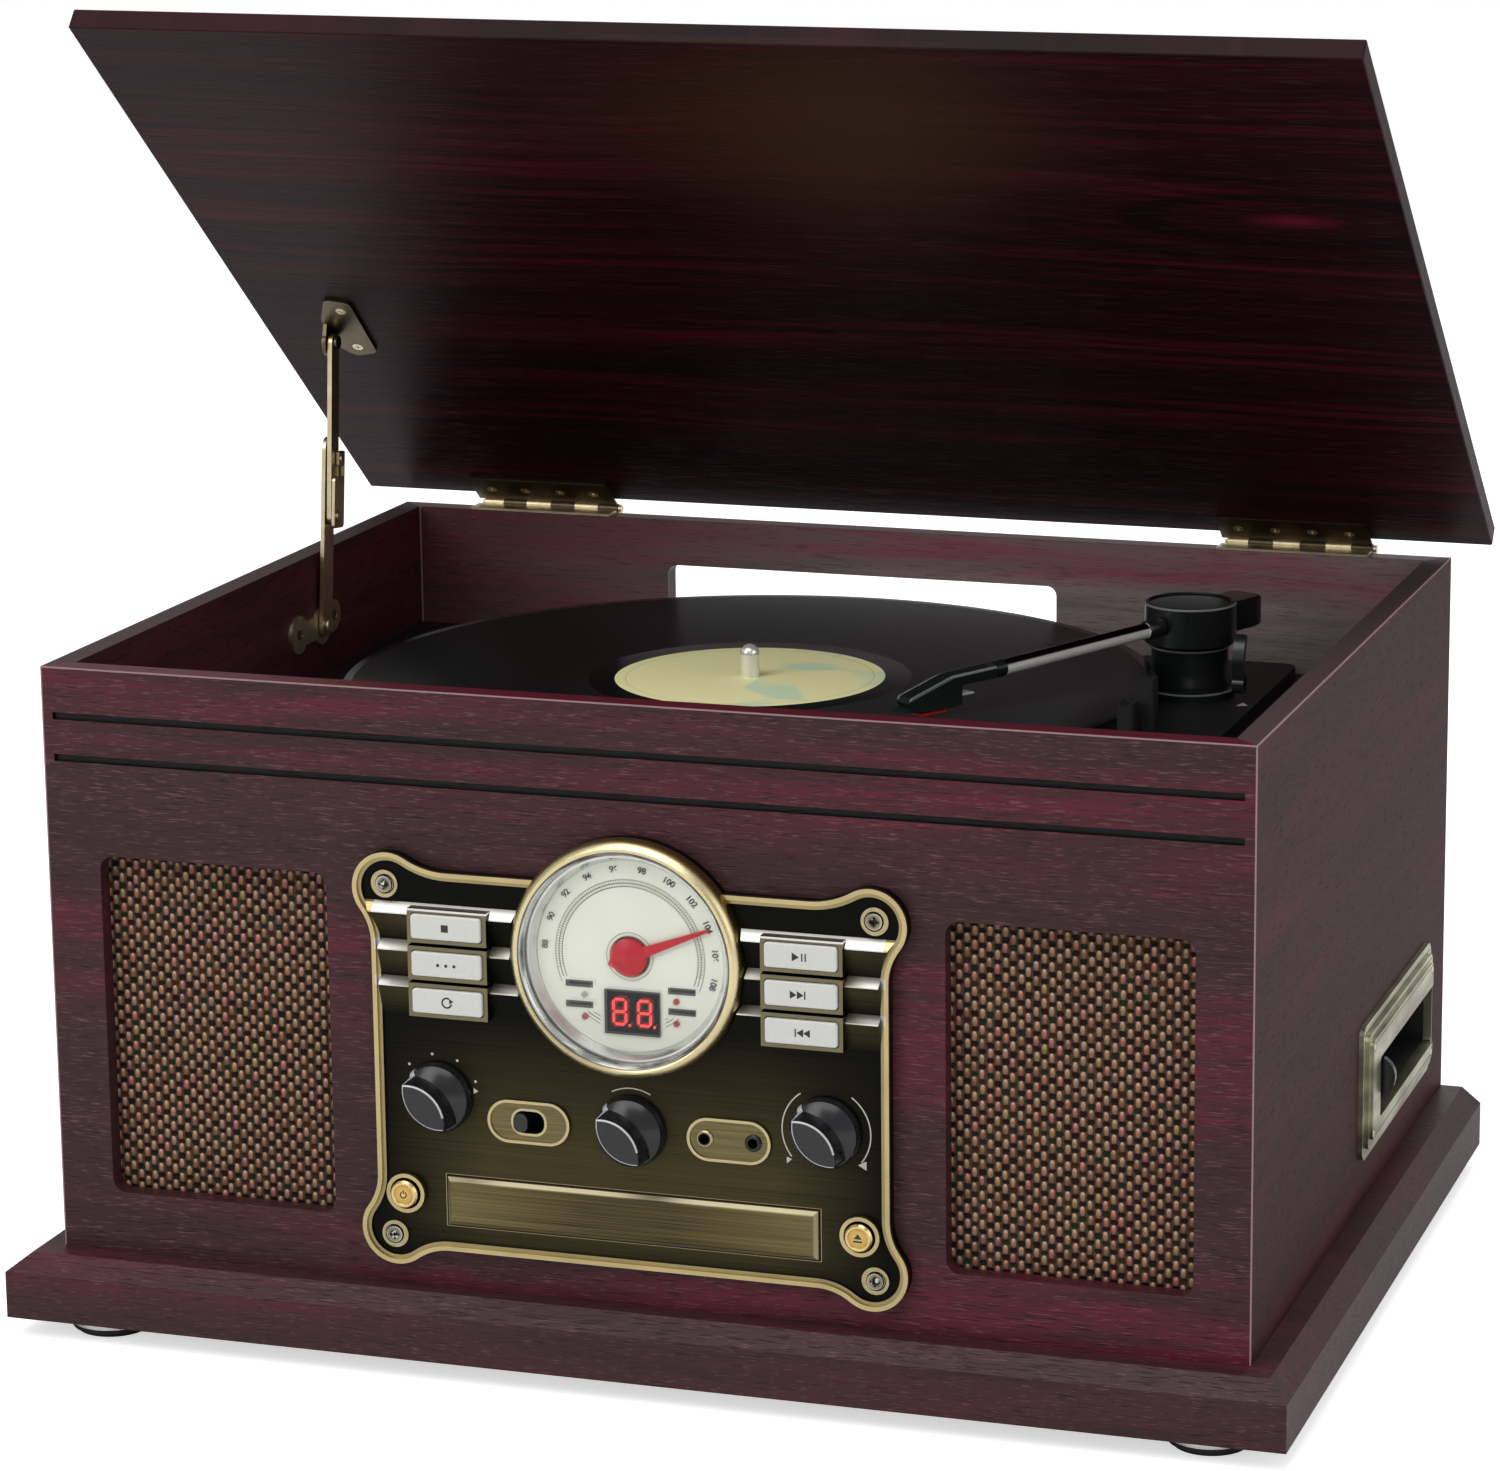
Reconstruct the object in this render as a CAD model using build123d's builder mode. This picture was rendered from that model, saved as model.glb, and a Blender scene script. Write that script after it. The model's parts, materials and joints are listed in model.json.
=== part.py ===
from build123d import *
import math
import os

# A table-top wooden music centre: turntable under a hinged lid, radio dial, disc drawer, cassette slot.
# Millimetres, +Z up, front towards -Y. The origin is the centre of the overall box, at the floor.

# ---------------------------------------------------------------- driving dimensions
BODY_WIDTH = 436.0          # cabinet, outside
BODY_DEPTH = 328.0
BODY_HEIGHT = 213.0
BOARD = 9.0                 # thickness of every cabinet board
BASE_HEIGHT = 23.0          # moulding under the cabinet
BASE_OVERHANG = 16.0        # front and both sides; flush at the back
BASE_LEDGE = 8.5            # flat ledge before the chamfer starts
BASE_CHAMFER_DROP = 6.0
RAIL_WIDTH = 22.0           # how far a moulding rail reaches in under the cabinet
FOOT_HEIGHT = 7.5
FOOT_INSET_X = 31.0         # foot centre from the side of the moulding
FOOT_INSET_Y = 22.5
BARREL_REACH = 333.5        # rear of the hinge barrels, behind the front face

HALF_WIDTH = BODY_WIDTH / 2
INNER = HALF_WIDTH - BOARD
FRONT = BASE_OVERHANG - (BASE_OVERHANG + BARREL_REACH) / 2      # y of the cabinet's front face
BED = FOOT_HEIGHT + BASE_HEIGHT                                 # z of the cabinet's underside
RIM = BED + BODY_HEIGHT                                         # z of the cabinet's top edge
BACK = FRONT + BODY_DEPTH

LID_WIDTH = 468.0
LID_DEPTH = 330.0
LID_THICKNESS = 8.0
LID_OPEN_ANGLE = 39.5       # the stay holds the lid here
LID_SET_BACK = 6.0          # hinge pin to the lid's rear edge, along the lid
LID_OFFSET = 1.0            # lid's inner face above the hinge pin
PIN_Y = FRONT + 331.5
PIN_Z = RIM + 1.0

HINGE_CENTRE = 156.5        # each hinge's centre from the middle
HINGE_LENGTH = 60.0
BARREL_RADIUS = 2.0
PIN_RADIUS = 1.0
PIN_CLEARANCE = 0.06
LEAF = 0.85                 # leaf thickness
SCREW_SINK = 2.2            # countersink at the surface
SCREW_HOLE = SCREW_SINK - LEAF
TAB_EDGES = (2.2, 10.4, 20.5, 31.0, 41.5, 51.5)   # cabinet leaf knuckles, from the hinge's left end

DECK_TOP = BED + 165.0      # black top plate
DECK_THICKNESS = 4.0
PANEL_TOP = DECK_TOP + 5.0  # raised panel under the tonearm
PLATTER_X = -12.4
PLATTER_Y = FRONT + 163.3
PLATTER_RADIUS = 98.0
RECORD_RADIUS = 150.5
RECORD_TOP = BED + 187.0
RECORD_THICKNESS = 1.3
SPINDLE_RADIUS = 3.55       # fits the 7.24 mm hole of a record
SPINDLE_TOP = BED + 199.3
MOTOR_X = PLATTER_X - 60.0
MOTOR_Y = PLATTER_Y + 50.0
HUB_RADIUS = 60.0           # rim under the platter that the belt drives
PULLEY_RADIUS = 5.0

ARM_X = 133.0               # vertical pivot of the tonearm
ARM_Y = FRONT + 252.0
ARM_Z = BED + 199.0         # axis of the tube
ARM_ANGLE = 24.0            # tube's direction, from straight ahead towards the spindle
TUBE_RADIUS = 2.25
TUBE_START = 14.5
TUBE_END = 115.6
TURRET_RADIUS = 14.0

SPEAKER_X = (112.0, 198.0)
SPEAKER_Z = (BED + 22.5, BED + 146.0)
SPEAKER_CORNER = 5.0
CLOTH_RECESS = 6.8

FASCIA = 3.0                # plate thickness
FASCIA_FACE = FRONT - FASCIA
RIM_HEIGHT = 1.8            # the bright edge stands this proud of the plate
RIM_WIDTH = 3.0
DIAL_X = 0.7
DIAL_Z = BED + 125.6
BEZEL_RADIUS = 42.0
DIAL_RADIUS = 36.0
BUTTON_WIDTH = 25.8
BUTTON_HEIGHT = 8.7
BUTTON_X = 64.0
BUTTON_ROWS = (BED + 132.2, BED + 119.0, BED + 105.8)
KNOBS = {"selector": (-70.5, BED + 70.0), "tuning": (0.5, BED + 64.0), "volume": (70.7, BED + 69.7)}
KNOB_RADIUS = 12.6
SHAFT_RADIUS = 3.0
GAP = 0.35                  # running gap round buttons and the drawer
ROUND_BUTTON_X = 83.0
ROUND_BUTTON_Z = BED + 34.3
DRAWER_HALF = 67.7
DRAWER_Z = (BED + 24.0, BED + 41.3)

CASSETTE_FRAME_Y = (FRONT + 168.0, FRONT + 293.0)
CASSETTE_FRAME_Z = (BED + 18.0, BED + 69.0)
CASSETTE_SLOT_Y = (FRONT + 188.0, FRONT + 289.0)
CASSETTE_SLOT_Z = (BED + 30.0, BED + 53.0)

BOARD_CUTOUT_X = 82.0       # opening in the front board behind the fascia
BOARD_CUTOUT_Z = (BED + 18.0, BED + 146.0)


def save(piece, name):
    """Label a finished piece and write it as one node."""
    piece.part.label = name
    export_step(piece.part, f"parts/{name}.step")


def save_group(pieces, name):
    """Write several touching but separate solids as one node."""
    group = Compound(label=name, children=[solid for piece in pieces for solid in piece.part.solids()])
    export_step(group, f"parts/{name}.step")


def middle(pair):
    return (pair[0] + pair[1]) / 2


def span(pair):
    return pair[1] - pair[0]


def front_plane(y):
    """A plane facing the front: local x to the right, local y up, normal towards -Y."""
    return Plane(origin=(0, y, 0), x_dir=(1, 0, 0), z_dir=(0, -1, 0))


def back_plane(y):
    """Plane facing the rear at y; local x runs to the left as seen from the front."""
    return Plane(origin=(0, y, 0), x_dir=(-1, 0, 0), z_dir=(0, 1, 0))


def side_plane(x):
    """A plane facing +X: local x towards the back, local y up."""
    return Plane(origin=(x, 0, 0), x_dir=(0, 1, 0), z_dir=(1, 0, 0))


def dome_middle(radius, edge, top):
    """Halfway point, in (radius, y), of a round dome between its edge and its top."""
    ball = (radius ** 2 + (top - edge) ** 2) / (2 * abs(top - edge))
    half = math.asin(radius / ball) / 2
    return (ball * math.sin(half), top + math.copysign(ball * (1 - math.cos(half)), edge - top))


os.makedirs("parts", exist_ok=True)

# ---------------------------------------------------------------- cabinet boards, mitred at the corners
with BuildPart() as front_board:
    with BuildSketch(Plane.XY.offset(BED)):
        with BuildLine():
            Polyline((-HALF_WIDTH, FRONT), (HALF_WIDTH, FRONT), (INNER, FRONT + BOARD),
                     (-INNER, FRONT + BOARD), close=True)
        make_face()
    extrude(amount=BODY_HEIGHT)
    # speaker openings, and a wider rebate from behind that takes the cloth boards
    with BuildSketch(front_plane(FRONT)):
        with Locations((-middle(SPEAKER_X), middle(SPEAKER_Z)), (middle(SPEAKER_X), middle(SPEAKER_Z))):
            RectangleRounded(span(SPEAKER_X), span(SPEAKER_Z), SPEAKER_CORNER)
    extrude(amount=-BOARD, mode=Mode.SUBTRACT)
    with BuildSketch(front_plane(FRONT + CLOTH_RECESS)):
        with Locations((-middle(SPEAKER_X), middle(SPEAKER_Z)), (middle(SPEAKER_X), middle(SPEAKER_Z))):
            Rectangle(span(SPEAKER_X) + 8, span(SPEAKER_Z) + 8)
    extrude(amount=-BOARD, mode=Mode.SUBTRACT)
    # window behind the fascia, with room for the dial above it
    with BuildSketch(front_plane(FRONT)):
        with Locations((0, middle(BOARD_CUTOUT_Z))):
            Rectangle(2 * BOARD_CUTOUT_X, span(BOARD_CUTOUT_Z))
        with Locations((DIAL_X, DIAL_Z)):
            Circle(DIAL_RADIUS + 2)
        with Locations((-ROUND_BUTTON_X, ROUND_BUTTON_Z), (ROUND_BUTTON_X, ROUND_BUTTON_Z)):
            Circle(6)
    extrude(amount=-BOARD, mode=Mode.SUBTRACT)
    # two decorative grooves under the rim
    with BuildSketch(front_plane(FRONT)):
        with Locations((0, BED + 195.5), (0, BED + 180.5)):
            Rectangle(2 * (HALF_WIDTH - 4), 2.6)
    extrude(amount=-1.5, mode=Mode.SUBTRACT)
save(front_board, "front_board")

with BuildPart() as back_board:
    with BuildSketch(Plane.XY.offset(BED)):
        with BuildLine():
            Polyline((-HALF_WIDTH, BACK), (HALF_WIDTH, BACK), (INNER, BACK - BOARD),
                     (-INNER, BACK - BOARD), close=True)
        make_face()
    extrude(amount=BODY_HEIGHT)
    with BuildSketch(front_plane(BACK - BOARD)):
        # long window above the deck
        with Locations((-19.5, BED + 182.5)):
            RectangleRounded(163, 24, 4)
        # opening behind the socket plate
        with Locations((150, BED + 45)):
            RectangleRounded(64, 24, 3)
        # rows of vent slots
        with GridLocations(16, 14, 9, 3):
            with Locations((-60, BED + 60)):
                SlotOverall(11, 4, rotation=90)
    extrude(amount=-BOARD, mode=Mode.SUBTRACT)
save(back_board, "back_board")


def side_board(side):
    """One side board, mitred at both ends; the right one has the cassette opening."""
    with BuildPart() as board:
        with BuildSketch(Plane.XY.offset(BED)):
            with BuildLine():
                Polyline((side * HALF_WIDTH, FRONT), (side * INNER, FRONT + BOARD),
                         (side * INNER, BACK - BOARD), (side * HALF_WIDTH, BACK), close=True)
            make_face()
        extrude(amount=BODY_HEIGHT)
        if side > 0:
            with BuildSketch(side_plane(INNER)):
                with Locations((middle(CASSETTE_FRAME_Y), middle(CASSETTE_FRAME_Z))):
                    RectangleRounded(span(CASSETTE_FRAME_Y) - 5, span(CASSETTE_FRAME_Z) - 6, 4)
            extrude(amount=BOARD, mode=Mode.SUBTRACT)
    return board


def deck_cleat(side):
    """Batten glued along the side board, on which the deck rests."""
    with BuildPart() as cleat:
        with BuildSketch(Plane.XY.offset(DECK_TOP - DECK_THICKNESS - 12)):
            with Locations((side * (INNER - 5), (FRONT + BACK) / 2)):
                Rectangle(10, BODY_DEPTH - 2 * BOARD - 60)
        extrude(amount=12)
    return cleat


save_group([side_board(-1), deck_cleat(-1)], "left_side_board")
save_group([side_board(1), deck_cleat(1)], "right_side_board")

with BuildPart() as bottom_board:
    with BuildSketch(Plane.XY.offset(BED)):
        with Locations((0, (FRONT + BACK) / 2)):
            Rectangle(2 * INNER, BODY_DEPTH - 2 * BOARD)
    extrude(amount=BOARD)
save(bottom_board, "bottom_board")

# ---------------------------------------------------------------- base moulding: four mitred rails
OUTER_X = HALF_WIDTH + BASE_OVERHANG
OUTER_FRONT = FRONT - BASE_OVERHANG
MITRE = BASE_OVERHANG + RAIL_WIDTH


def moulding_section(wall, outward):
    """Rail section in (across, z): wall is the cabinet's face, outward is +1 or -1."""
    return [
        (wall + outward * BASE_OVERHANG, FOOT_HEIGHT),
        (wall + outward * BASE_OVERHANG, BED - BASE_CHAMFER_DROP),
        (wall + outward * BASE_LEDGE, BED),
        (wall - outward * RAIL_WIDTH, BED),
        (wall - outward * RAIL_WIDTH, FOOT_HEIGHT),
    ]


with BuildPart() as front_rail:
    with BuildSketch(Plane.YZ.offset(-OUTER_X)):
        with BuildLine():
            Polyline(*moulding_section(FRONT, -1), close=True)
        make_face()
    extrude(amount=2 * OUTER_X)
    with BuildSketch(Plane.XY.offset(FOOT_HEIGHT)):
        with BuildLine():
            Polyline((-OUTER_X, OUTER_FRONT), (OUTER_X, OUTER_FRONT), (OUTER_X - MITRE, OUTER_FRONT + MITRE),
                     (-OUTER_X + MITRE, OUTER_FRONT + MITRE), close=True)
        make_face()
    extrude(amount=BASE_HEIGHT, mode=Mode.INTERSECT)


def side_rail(side):
    with BuildPart() as rail:
        with BuildSketch(Plane.XZ.offset(-BACK)):
            with BuildLine():
                Polyline(*moulding_section(side * HALF_WIDTH, side), close=True)
            make_face()
        extrude(amount=BACK - OUTER_FRONT)
        with BuildSketch(Plane.XY.offset(FOOT_HEIGHT)):
            with BuildLine():
                Polyline((side * OUTER_X, OUTER_FRONT), (side * OUTER_X, BACK), (side * (OUTER_X - MITRE), BACK),
                         (side * (OUTER_X - MITRE), OUTER_FRONT + MITRE), close=True)
            make_face()
        extrude(amount=BASE_HEIGHT, mode=Mode.INTERSECT)
    return rail


left_rail = side_rail(-1)
right_rail = side_rail(1)
with BuildPart() as back_rail:
    with Locations((0, BACK - RAIL_WIDTH / 2, FOOT_HEIGHT + BASE_HEIGHT / 2)):
        Box(2 * (OUTER_X - MITRE), RAIL_WIDTH, BASE_HEIGHT)
save_group([front_rail, left_rail, right_rail, back_rail], "base_rails")

# ---------------------------------------------------------------- feet: bright cups with rubber pads
FOOT_PLACES = [
    (sx * (OUTER_X - FOOT_INSET_X), y)
    for sx in (-1, 1)
    for y in (OUTER_FRONT + FOOT_INSET_Y, BACK - FOOT_INSET_Y)
]
with BuildPart() as feet:
    for foot_x, foot_y in FOOT_PLACES:
        # cup with a rounded lower edge and a recess for the pad
        with BuildSketch(Plane(origin=(foot_x, foot_y, 0), x_dir=(1, 0, 0), z_dir=(0, -1, 0))):
            with BuildLine():
                Polyline((0, 3), (13, 3), (13, 1.2), (14.2, 1.2))
                ThreePointArc((14.2, 1.2), (14.77, 1.43), (15, 2))
                Polyline((15, 2), (15, 6.7), (14.2, FOOT_HEIGHT), (0, FOOT_HEIGHT), (0, 3))
            make_face()
        revolve(axis=Axis((foot_x, foot_y, 0), (0, 0, 1)))

with BuildPart() as foot_pads:
    for foot_x, foot_y in FOOT_PLACES:
        with BuildSketch(Plane.XY):
            with Locations((foot_x, foot_y)):
                Circle(13)
        extrude(amount=3)
save_group([feet, foot_pads], "feet")

# ---------------------------------------------------------------- deck plate
with BuildPart() as deck_plate:
    with BuildSketch(Plane.XY.offset(DECK_TOP - DECK_THICKNESS)):
        with Locations((0, (FRONT + BACK) / 2)):
            Rectangle(2 * INNER, BODY_DEPTH - 2 * BOARD)
    extrude(amount=DECK_THICKNESS)
    # raised panel that carries the tonearm
    with BuildSketch(Plane.XY.offset(DECK_TOP)):
        with Locations((129, FRONT + 200)):
            RectangleRounded(64, 230, 6)
    extrude(amount=PANEL_TOP - DECK_TOP)
    # shallow well round the platter
    with BuildSketch(Plane.XY.offset(DECK_TOP)):
        with Locations((PLATTER_X, PLATTER_Y)):
            Circle(PLATTER_RADIUS + 5)
    extrude(amount=-1.5, mode=Mode.SUBTRACT)
    # holes for the platter bearing, motor shaft and tonearm
    with Locations((PLATTER_X, PLATTER_Y, DECK_TOP)):
        Hole(5.0)
    with Locations((MOTOR_X, MOTOR_Y, DECK_TOP)):
        Hole(8.0)
    with Locations((ARM_X, ARM_Y, PANEL_TOP)):
        Hole(5.5)

# ---------------------------------------------------------------- platter, mat, record, drive
PLATTER_TOP = RECORD_TOP - RECORD_THICKNESS - 1.0
with BuildPart() as platter:
    with BuildSketch(Plane(origin=(PLATTER_X, PLATTER_Y, 0), x_dir=(1, 0, 0), z_dir=(0, -1, 0))):
        with BuildLine():
            Polyline((0, DECK_TOP + 2.0), (4.0, DECK_TOP + 2.0), (4.0, PLATTER_TOP - 5.0),
                     (HUB_RADIUS - 3, PLATTER_TOP - 5.0), (HUB_RADIUS - 3, DECK_TOP + 3.0),
                     (HUB_RADIUS, DECK_TOP + 3.0), (HUB_RADIUS, PLATTER_TOP - 5.0),
                     (PLATTER_RADIUS - 3, PLATTER_TOP - 5.0), (PLATTER_RADIUS - 3, DECK_TOP + 1.5),
                     (PLATTER_RADIUS, DECK_TOP + 1.5), (PLATTER_RADIUS, PLATTER_TOP - 1.5),
                     (PLATTER_RADIUS - 1.5, PLATTER_TOP), (0, PLATTER_TOP), close=True)
        make_face()
    revolve(axis=Axis((PLATTER_X, PLATTER_Y, 0), (0, 0, 1)))
    # bearing journal that turns in the deck's bush
    with BuildSketch(Plane.XY.offset(DECK_TOP - 18)):
        with Locations((PLATTER_X, PLATTER_Y)):
            Circle(3.0)
    extrude(amount=22)

with BuildPart() as bearing_bush:
    with BuildSketch(Plane.XY.offset(DECK_TOP - 20)):
        with Locations((PLATTER_X, PLATTER_Y)):
            Circle(5.0)
    extrude(amount=20.5)
    with BuildSketch(Plane.XY.offset(DECK_TOP - 18.05)):
        with Locations((PLATTER_X, PLATTER_Y)):
            Circle(3.05)
    extrude(amount=20, mode=Mode.SUBTRACT)
    with BuildSketch(Plane.XY.offset(DECK_TOP - DECK_THICKNESS - 2)):
        with Locations((PLATTER_X, PLATTER_Y)):
            Circle(12)
            Circle(5.0, mode=Mode.SUBTRACT)
    extrude(amount=2)
save_group([deck_plate, bearing_bush], "deck_plate")

with BuildPart() as spindle:
    # round-topped pin that stands on the platter and centres the record
    with BuildSketch(Plane(origin=(PLATTER_X, PLATTER_Y, 0), x_dir=(1, 0, 0), z_dir=(0, -1, 0))):
        with BuildLine():
            Polyline((0, PLATTER_TOP), (SPINDLE_RADIUS, PLATTER_TOP), (SPINDLE_RADIUS, SPINDLE_TOP - SPINDLE_RADIUS))
            ThreePointArc((SPINDLE_RADIUS, SPINDLE_TOP - SPINDLE_RADIUS),
                          (SPINDLE_RADIUS * math.sqrt(0.5), SPINDLE_TOP - SPINDLE_RADIUS * (1 - math.sqrt(0.5))),
                          (0, SPINDLE_TOP))
            Line((0, SPINDLE_TOP), (0, PLATTER_TOP))
        make_face()
    revolve(axis=Axis((PLATTER_X, PLATTER_Y, 0), (0, 0, 1)))

with BuildPart() as slip_mat:
    with BuildSketch(Plane.XY.offset(PLATTER_TOP)):
        with Locations((PLATTER_X, PLATTER_Y)):
            Circle(PLATTER_RADIUS - 2)
            Circle(SPINDLE_RADIUS + 0.4, mode=Mode.SUBTRACT)
    extrude(amount=1.0)
save_group([platter, spindle, slip_mat], "platter")

with BuildPart() as record:
    with BuildSketch(Plane.XY.offset(RECORD_TOP - RECORD_THICKNESS)):
        with Locations((PLATTER_X, PLATTER_Y)):
            Circle(RECORD_RADIUS)
            Circle(SPINDLE_RADIUS + 0.07, mode=Mode.SUBTRACT)
    extrude(amount=RECORD_THICKNESS)
    chamfer(record.edges().filter_by(GeomType.CIRCLE).sort_by(SortBy.RADIUS)[-2:], length=0.5)
save(record, "record")

BELT_Z = DECK_TOP + 6.0
BELT_GAP = 0.25
MOTOR_DISTANCE = math.hypot(MOTOR_X - PLATTER_X, MOTOR_Y - PLATTER_Y)
MOTOR_ANGLE = math.degrees(math.atan2(MOTOR_Y - PLATTER_Y, MOTOR_X - PLATTER_X))


def belt_outline(hub, pulley):
    """Open belt round two wheels, the hub at the local origin and the pulley along +X."""
    lean = math.acos((hub - pulley) / MOTOR_DISTANCE)
    hub_top = (hub * math.cos(lean), hub * math.sin(lean))
    hub_low = (hub_top[0], -hub_top[1])
    pulley_top = (MOTOR_DISTANCE + pulley * math.cos(lean), pulley * math.sin(lean))
    pulley_low = (pulley_top[0], -pulley_top[1])
    ThreePointArc(hub_top, (-hub, 0), hub_low)
    Line(hub_low, pulley_low)
    ThreePointArc(pulley_low, (MOTOR_DISTANCE + pulley, 0), pulley_top)
    Line(pulley_top, hub_top)


belt_plane = Plane(origin=(PLATTER_X, PLATTER_Y, BELT_Z), x_dir=(MOTOR_X - PLATTER_X, MOTOR_Y - PLATTER_Y, 0),
                   z_dir=(0, 0, 1))
with BuildPart() as drive_belt:
    with BuildSketch(belt_plane):
        with BuildLine():
            belt_outline(HUB_RADIUS + BELT_GAP + 0.8, PULLEY_RADIUS + BELT_GAP + 0.8)
        make_face()
        with BuildLine():
            belt_outline(HUB_RADIUS + BELT_GAP, PULLEY_RADIUS + BELT_GAP)
        make_face(mode=Mode.SUBTRACT)
    extrude(amount=4)
save(drive_belt, "drive_belt")

with BuildPart() as platter_motor:
    # can hung under the deck, with its shaft up through the deck's hole
    with BuildSketch(Plane.XY.offset(DECK_TOP - DECK_THICKNESS - 26)):
        with Locations((MOTOR_X, MOTOR_Y)):
            Circle(16)
    extrude(amount=26)
    fillet(platter_motor.edges().group_by(Axis.Z)[0], radius=2)
    with BuildSketch(Plane.XY.offset(DECK_TOP - DECK_THICKNESS)):
        with Locations((MOTOR_X, MOTOR_Y)):
            Circle(1.0)
    extrude(amount=DECK_THICKNESS + 9)
save(platter_motor, "platter_motor")

with BuildPart() as motor_pulley:
    with BuildSketch(Plane(origin=(MOTOR_X, MOTOR_Y, 0), x_dir=(1, 0, 0), z_dir=(0, -1, 0))):
        with BuildLine():
            Polyline((1.05, BELT_Z - 1.5), (6.5, BELT_Z - 1.5), (6.5, BELT_Z - 0.7), (PULLEY_RADIUS, BELT_Z - 0.3),
                     (PULLEY_RADIUS, BELT_Z + 4.3), (6.5, BELT_Z + 4.7), (6.5, BELT_Z + 5.5),
                     (1.05, BELT_Z + 5.5), close=True)
        make_face()
    revolve(axis=Axis((MOTOR_X, MOTOR_Y, 0), (0, 0, 1)))
save(motor_pulley, "motor_pulley")

# ---------------------------------------------------------------- tonearm
ARM_DIRECTION = (-math.sin(math.radians(ARM_ANGLE)), -math.cos(math.radians(ARM_ANGLE)), 0)
TURRET_BOTTOM = ARM_Z - 7.0
TURRET_TOP = ARM_Z + 7.0


def arm_point(distance, sideways=0.0):
    """Point on the deck plan, measured from the arm's pivot along and across the tube."""
    return (ARM_X + ARM_DIRECTION[0] * distance - ARM_DIRECTION[1] * sideways,
            ARM_Y + ARM_DIRECTION[1] * distance + ARM_DIRECTION[0] * sideways)


with BuildPart() as tonearm_base:
    # stepped skirt, then the tall bearing tower; the turret's spigot turns inside
    with BuildSketch(Plane(origin=(ARM_X, ARM_Y, 0), x_dir=(1, 0, 0), z_dir=(0, -1, 0))):
        with BuildLine():
            Polyline((0, PANEL_TOP), (17.0, PANEL_TOP), (17.0, PANEL_TOP + 3.0), (15.5, PANEL_TOP + 4.0),
                     (15.5, PANEL_TOP + 6.0), (13.2, PANEL_TOP + 8.5), (12.2, PANEL_TOP + 8.5),
                     (12.2, TURRET_BOTTOM - 0.4), (4.05, TURRET_BOTTOM - 0.4), (4.05, PANEL_TOP + 2.0),
                     (0, PANEL_TOP + 2.0), (0, PANEL_TOP))
        make_face()
    revolve(axis=Axis((ARM_X, ARM_Y, 0), (0, 0, 1)))
    # hollow nut under the deck
    with BuildSketch(Plane.XY.offset(DECK_TOP - DECK_THICKNESS - 5)):
        with Locations((ARM_X, ARM_Y)):
            Circle(5.5)
    extrude(amount=PANEL_TOP - DECK_TOP + DECK_THICKNESS + 5)
    with BuildSketch(Plane.XY.offset(DECK_TOP - DECK_THICKNESS - 5)):
        with Locations((ARM_X, ARM_Y)):
            RegularPolygon(9, 6)
    extrude(amount=5)

cross_plane = Plane(origin=(ARM_X, ARM_Y, ARM_Z), x_dir=(0, 0, 1), z_dir=(-ARM_DIRECTION[1], ARM_DIRECTION[0], 0))
turret_plane = Plane(origin=(ARM_X, ARM_Y, 0), x_dir=ARM_DIRECTION, z_dir=(0, 0, 1))
with BuildPart() as tonearm_turret:
    # round cap with a block behind it
    with BuildSketch(turret_plane.offset(TURRET_BOTTOM)):
        Circle(TURRET_RADIUS)
        with Locations((-15.5, 0)):
            RectangleRounded(15, 15, 3)
    extrude(amount=TURRET_TOP - TURRET_BOTTOM)
    fillet(tonearm_turret.edges().group_by(Axis.Z)[-1], radius=1.2)
    # open slot for the arm's knuckle, and its cross bore
    with BuildSketch(turret_plane.offset(ARM_Z - 4.8)):
        with Locations((6.5, 0)):
            Rectangle(21, 9)
    extrude(amount=9.6, mode=Mode.SUBTRACT)
    with BuildSketch(cross_plane):
        Circle(1.06)
    extrude(amount=10, both=True, mode=Mode.SUBTRACT)
    # spigot that turns in the tower
    with BuildSketch(Plane.XY.offset(PANEL_TOP + 2.4)):
        with Locations((ARM_X, ARM_Y)):
            Circle(4.0)
    extrude(amount=TURRET_BOTTOM - PANEL_TOP - 2.4)
save(tonearm_turret, "tonearm_turret")

tube_plane = Plane(origin=(ARM_X, ARM_Y, ARM_Z), x_dir=(-ARM_DIRECTION[1], ARM_DIRECTION[0], 0),
                   z_dir=ARM_DIRECTION)
with BuildPart() as tonearm_pivot:
    # knuckle inside the turret with its trunnion
    with BuildSketch(cross_plane.offset(-4.0)):
        Circle(3.3)
    extrude(amount=8.0)
    with BuildSketch(cross_plane):
        Circle(1.0)
    extrude(amount=9.5, both=True)
    with BuildSketch(tube_plane.offset(2.0)):
        Circle(2.9)
    extrude(amount=TUBE_START - 2.0)
    # socket collar where the tube starts
    with BuildSketch(tube_plane.offset(TUBE_START)):
        Circle(3.1)
        Circle(TUBE_RADIUS, mode=Mode.SUBTRACT)
    extrude(amount=4.0)

with BuildPart() as tonearm_tube:
    with BuildSketch(tube_plane.offset(TUBE_START)):
        Circle(TUBE_RADIUS)
        Circle(TUBE_RADIUS - 0.5, mode=Mode.SUBTRACT)
    extrude(amount=TUBE_END - TUBE_START)
save_group([tonearm_pivot, tonearm_tube], "tonearm_tube")

HEAD_ANGLE = 32.0           # headshell's direction from straight ahead
HEAD_WIDTH = 7.5
head_start = arm_point(TUBE_END)
head_axis = (-math.sin(math.radians(HEAD_ANGLE)), -math.cos(math.radians(HEAD_ANGLE)), 0)
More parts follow.
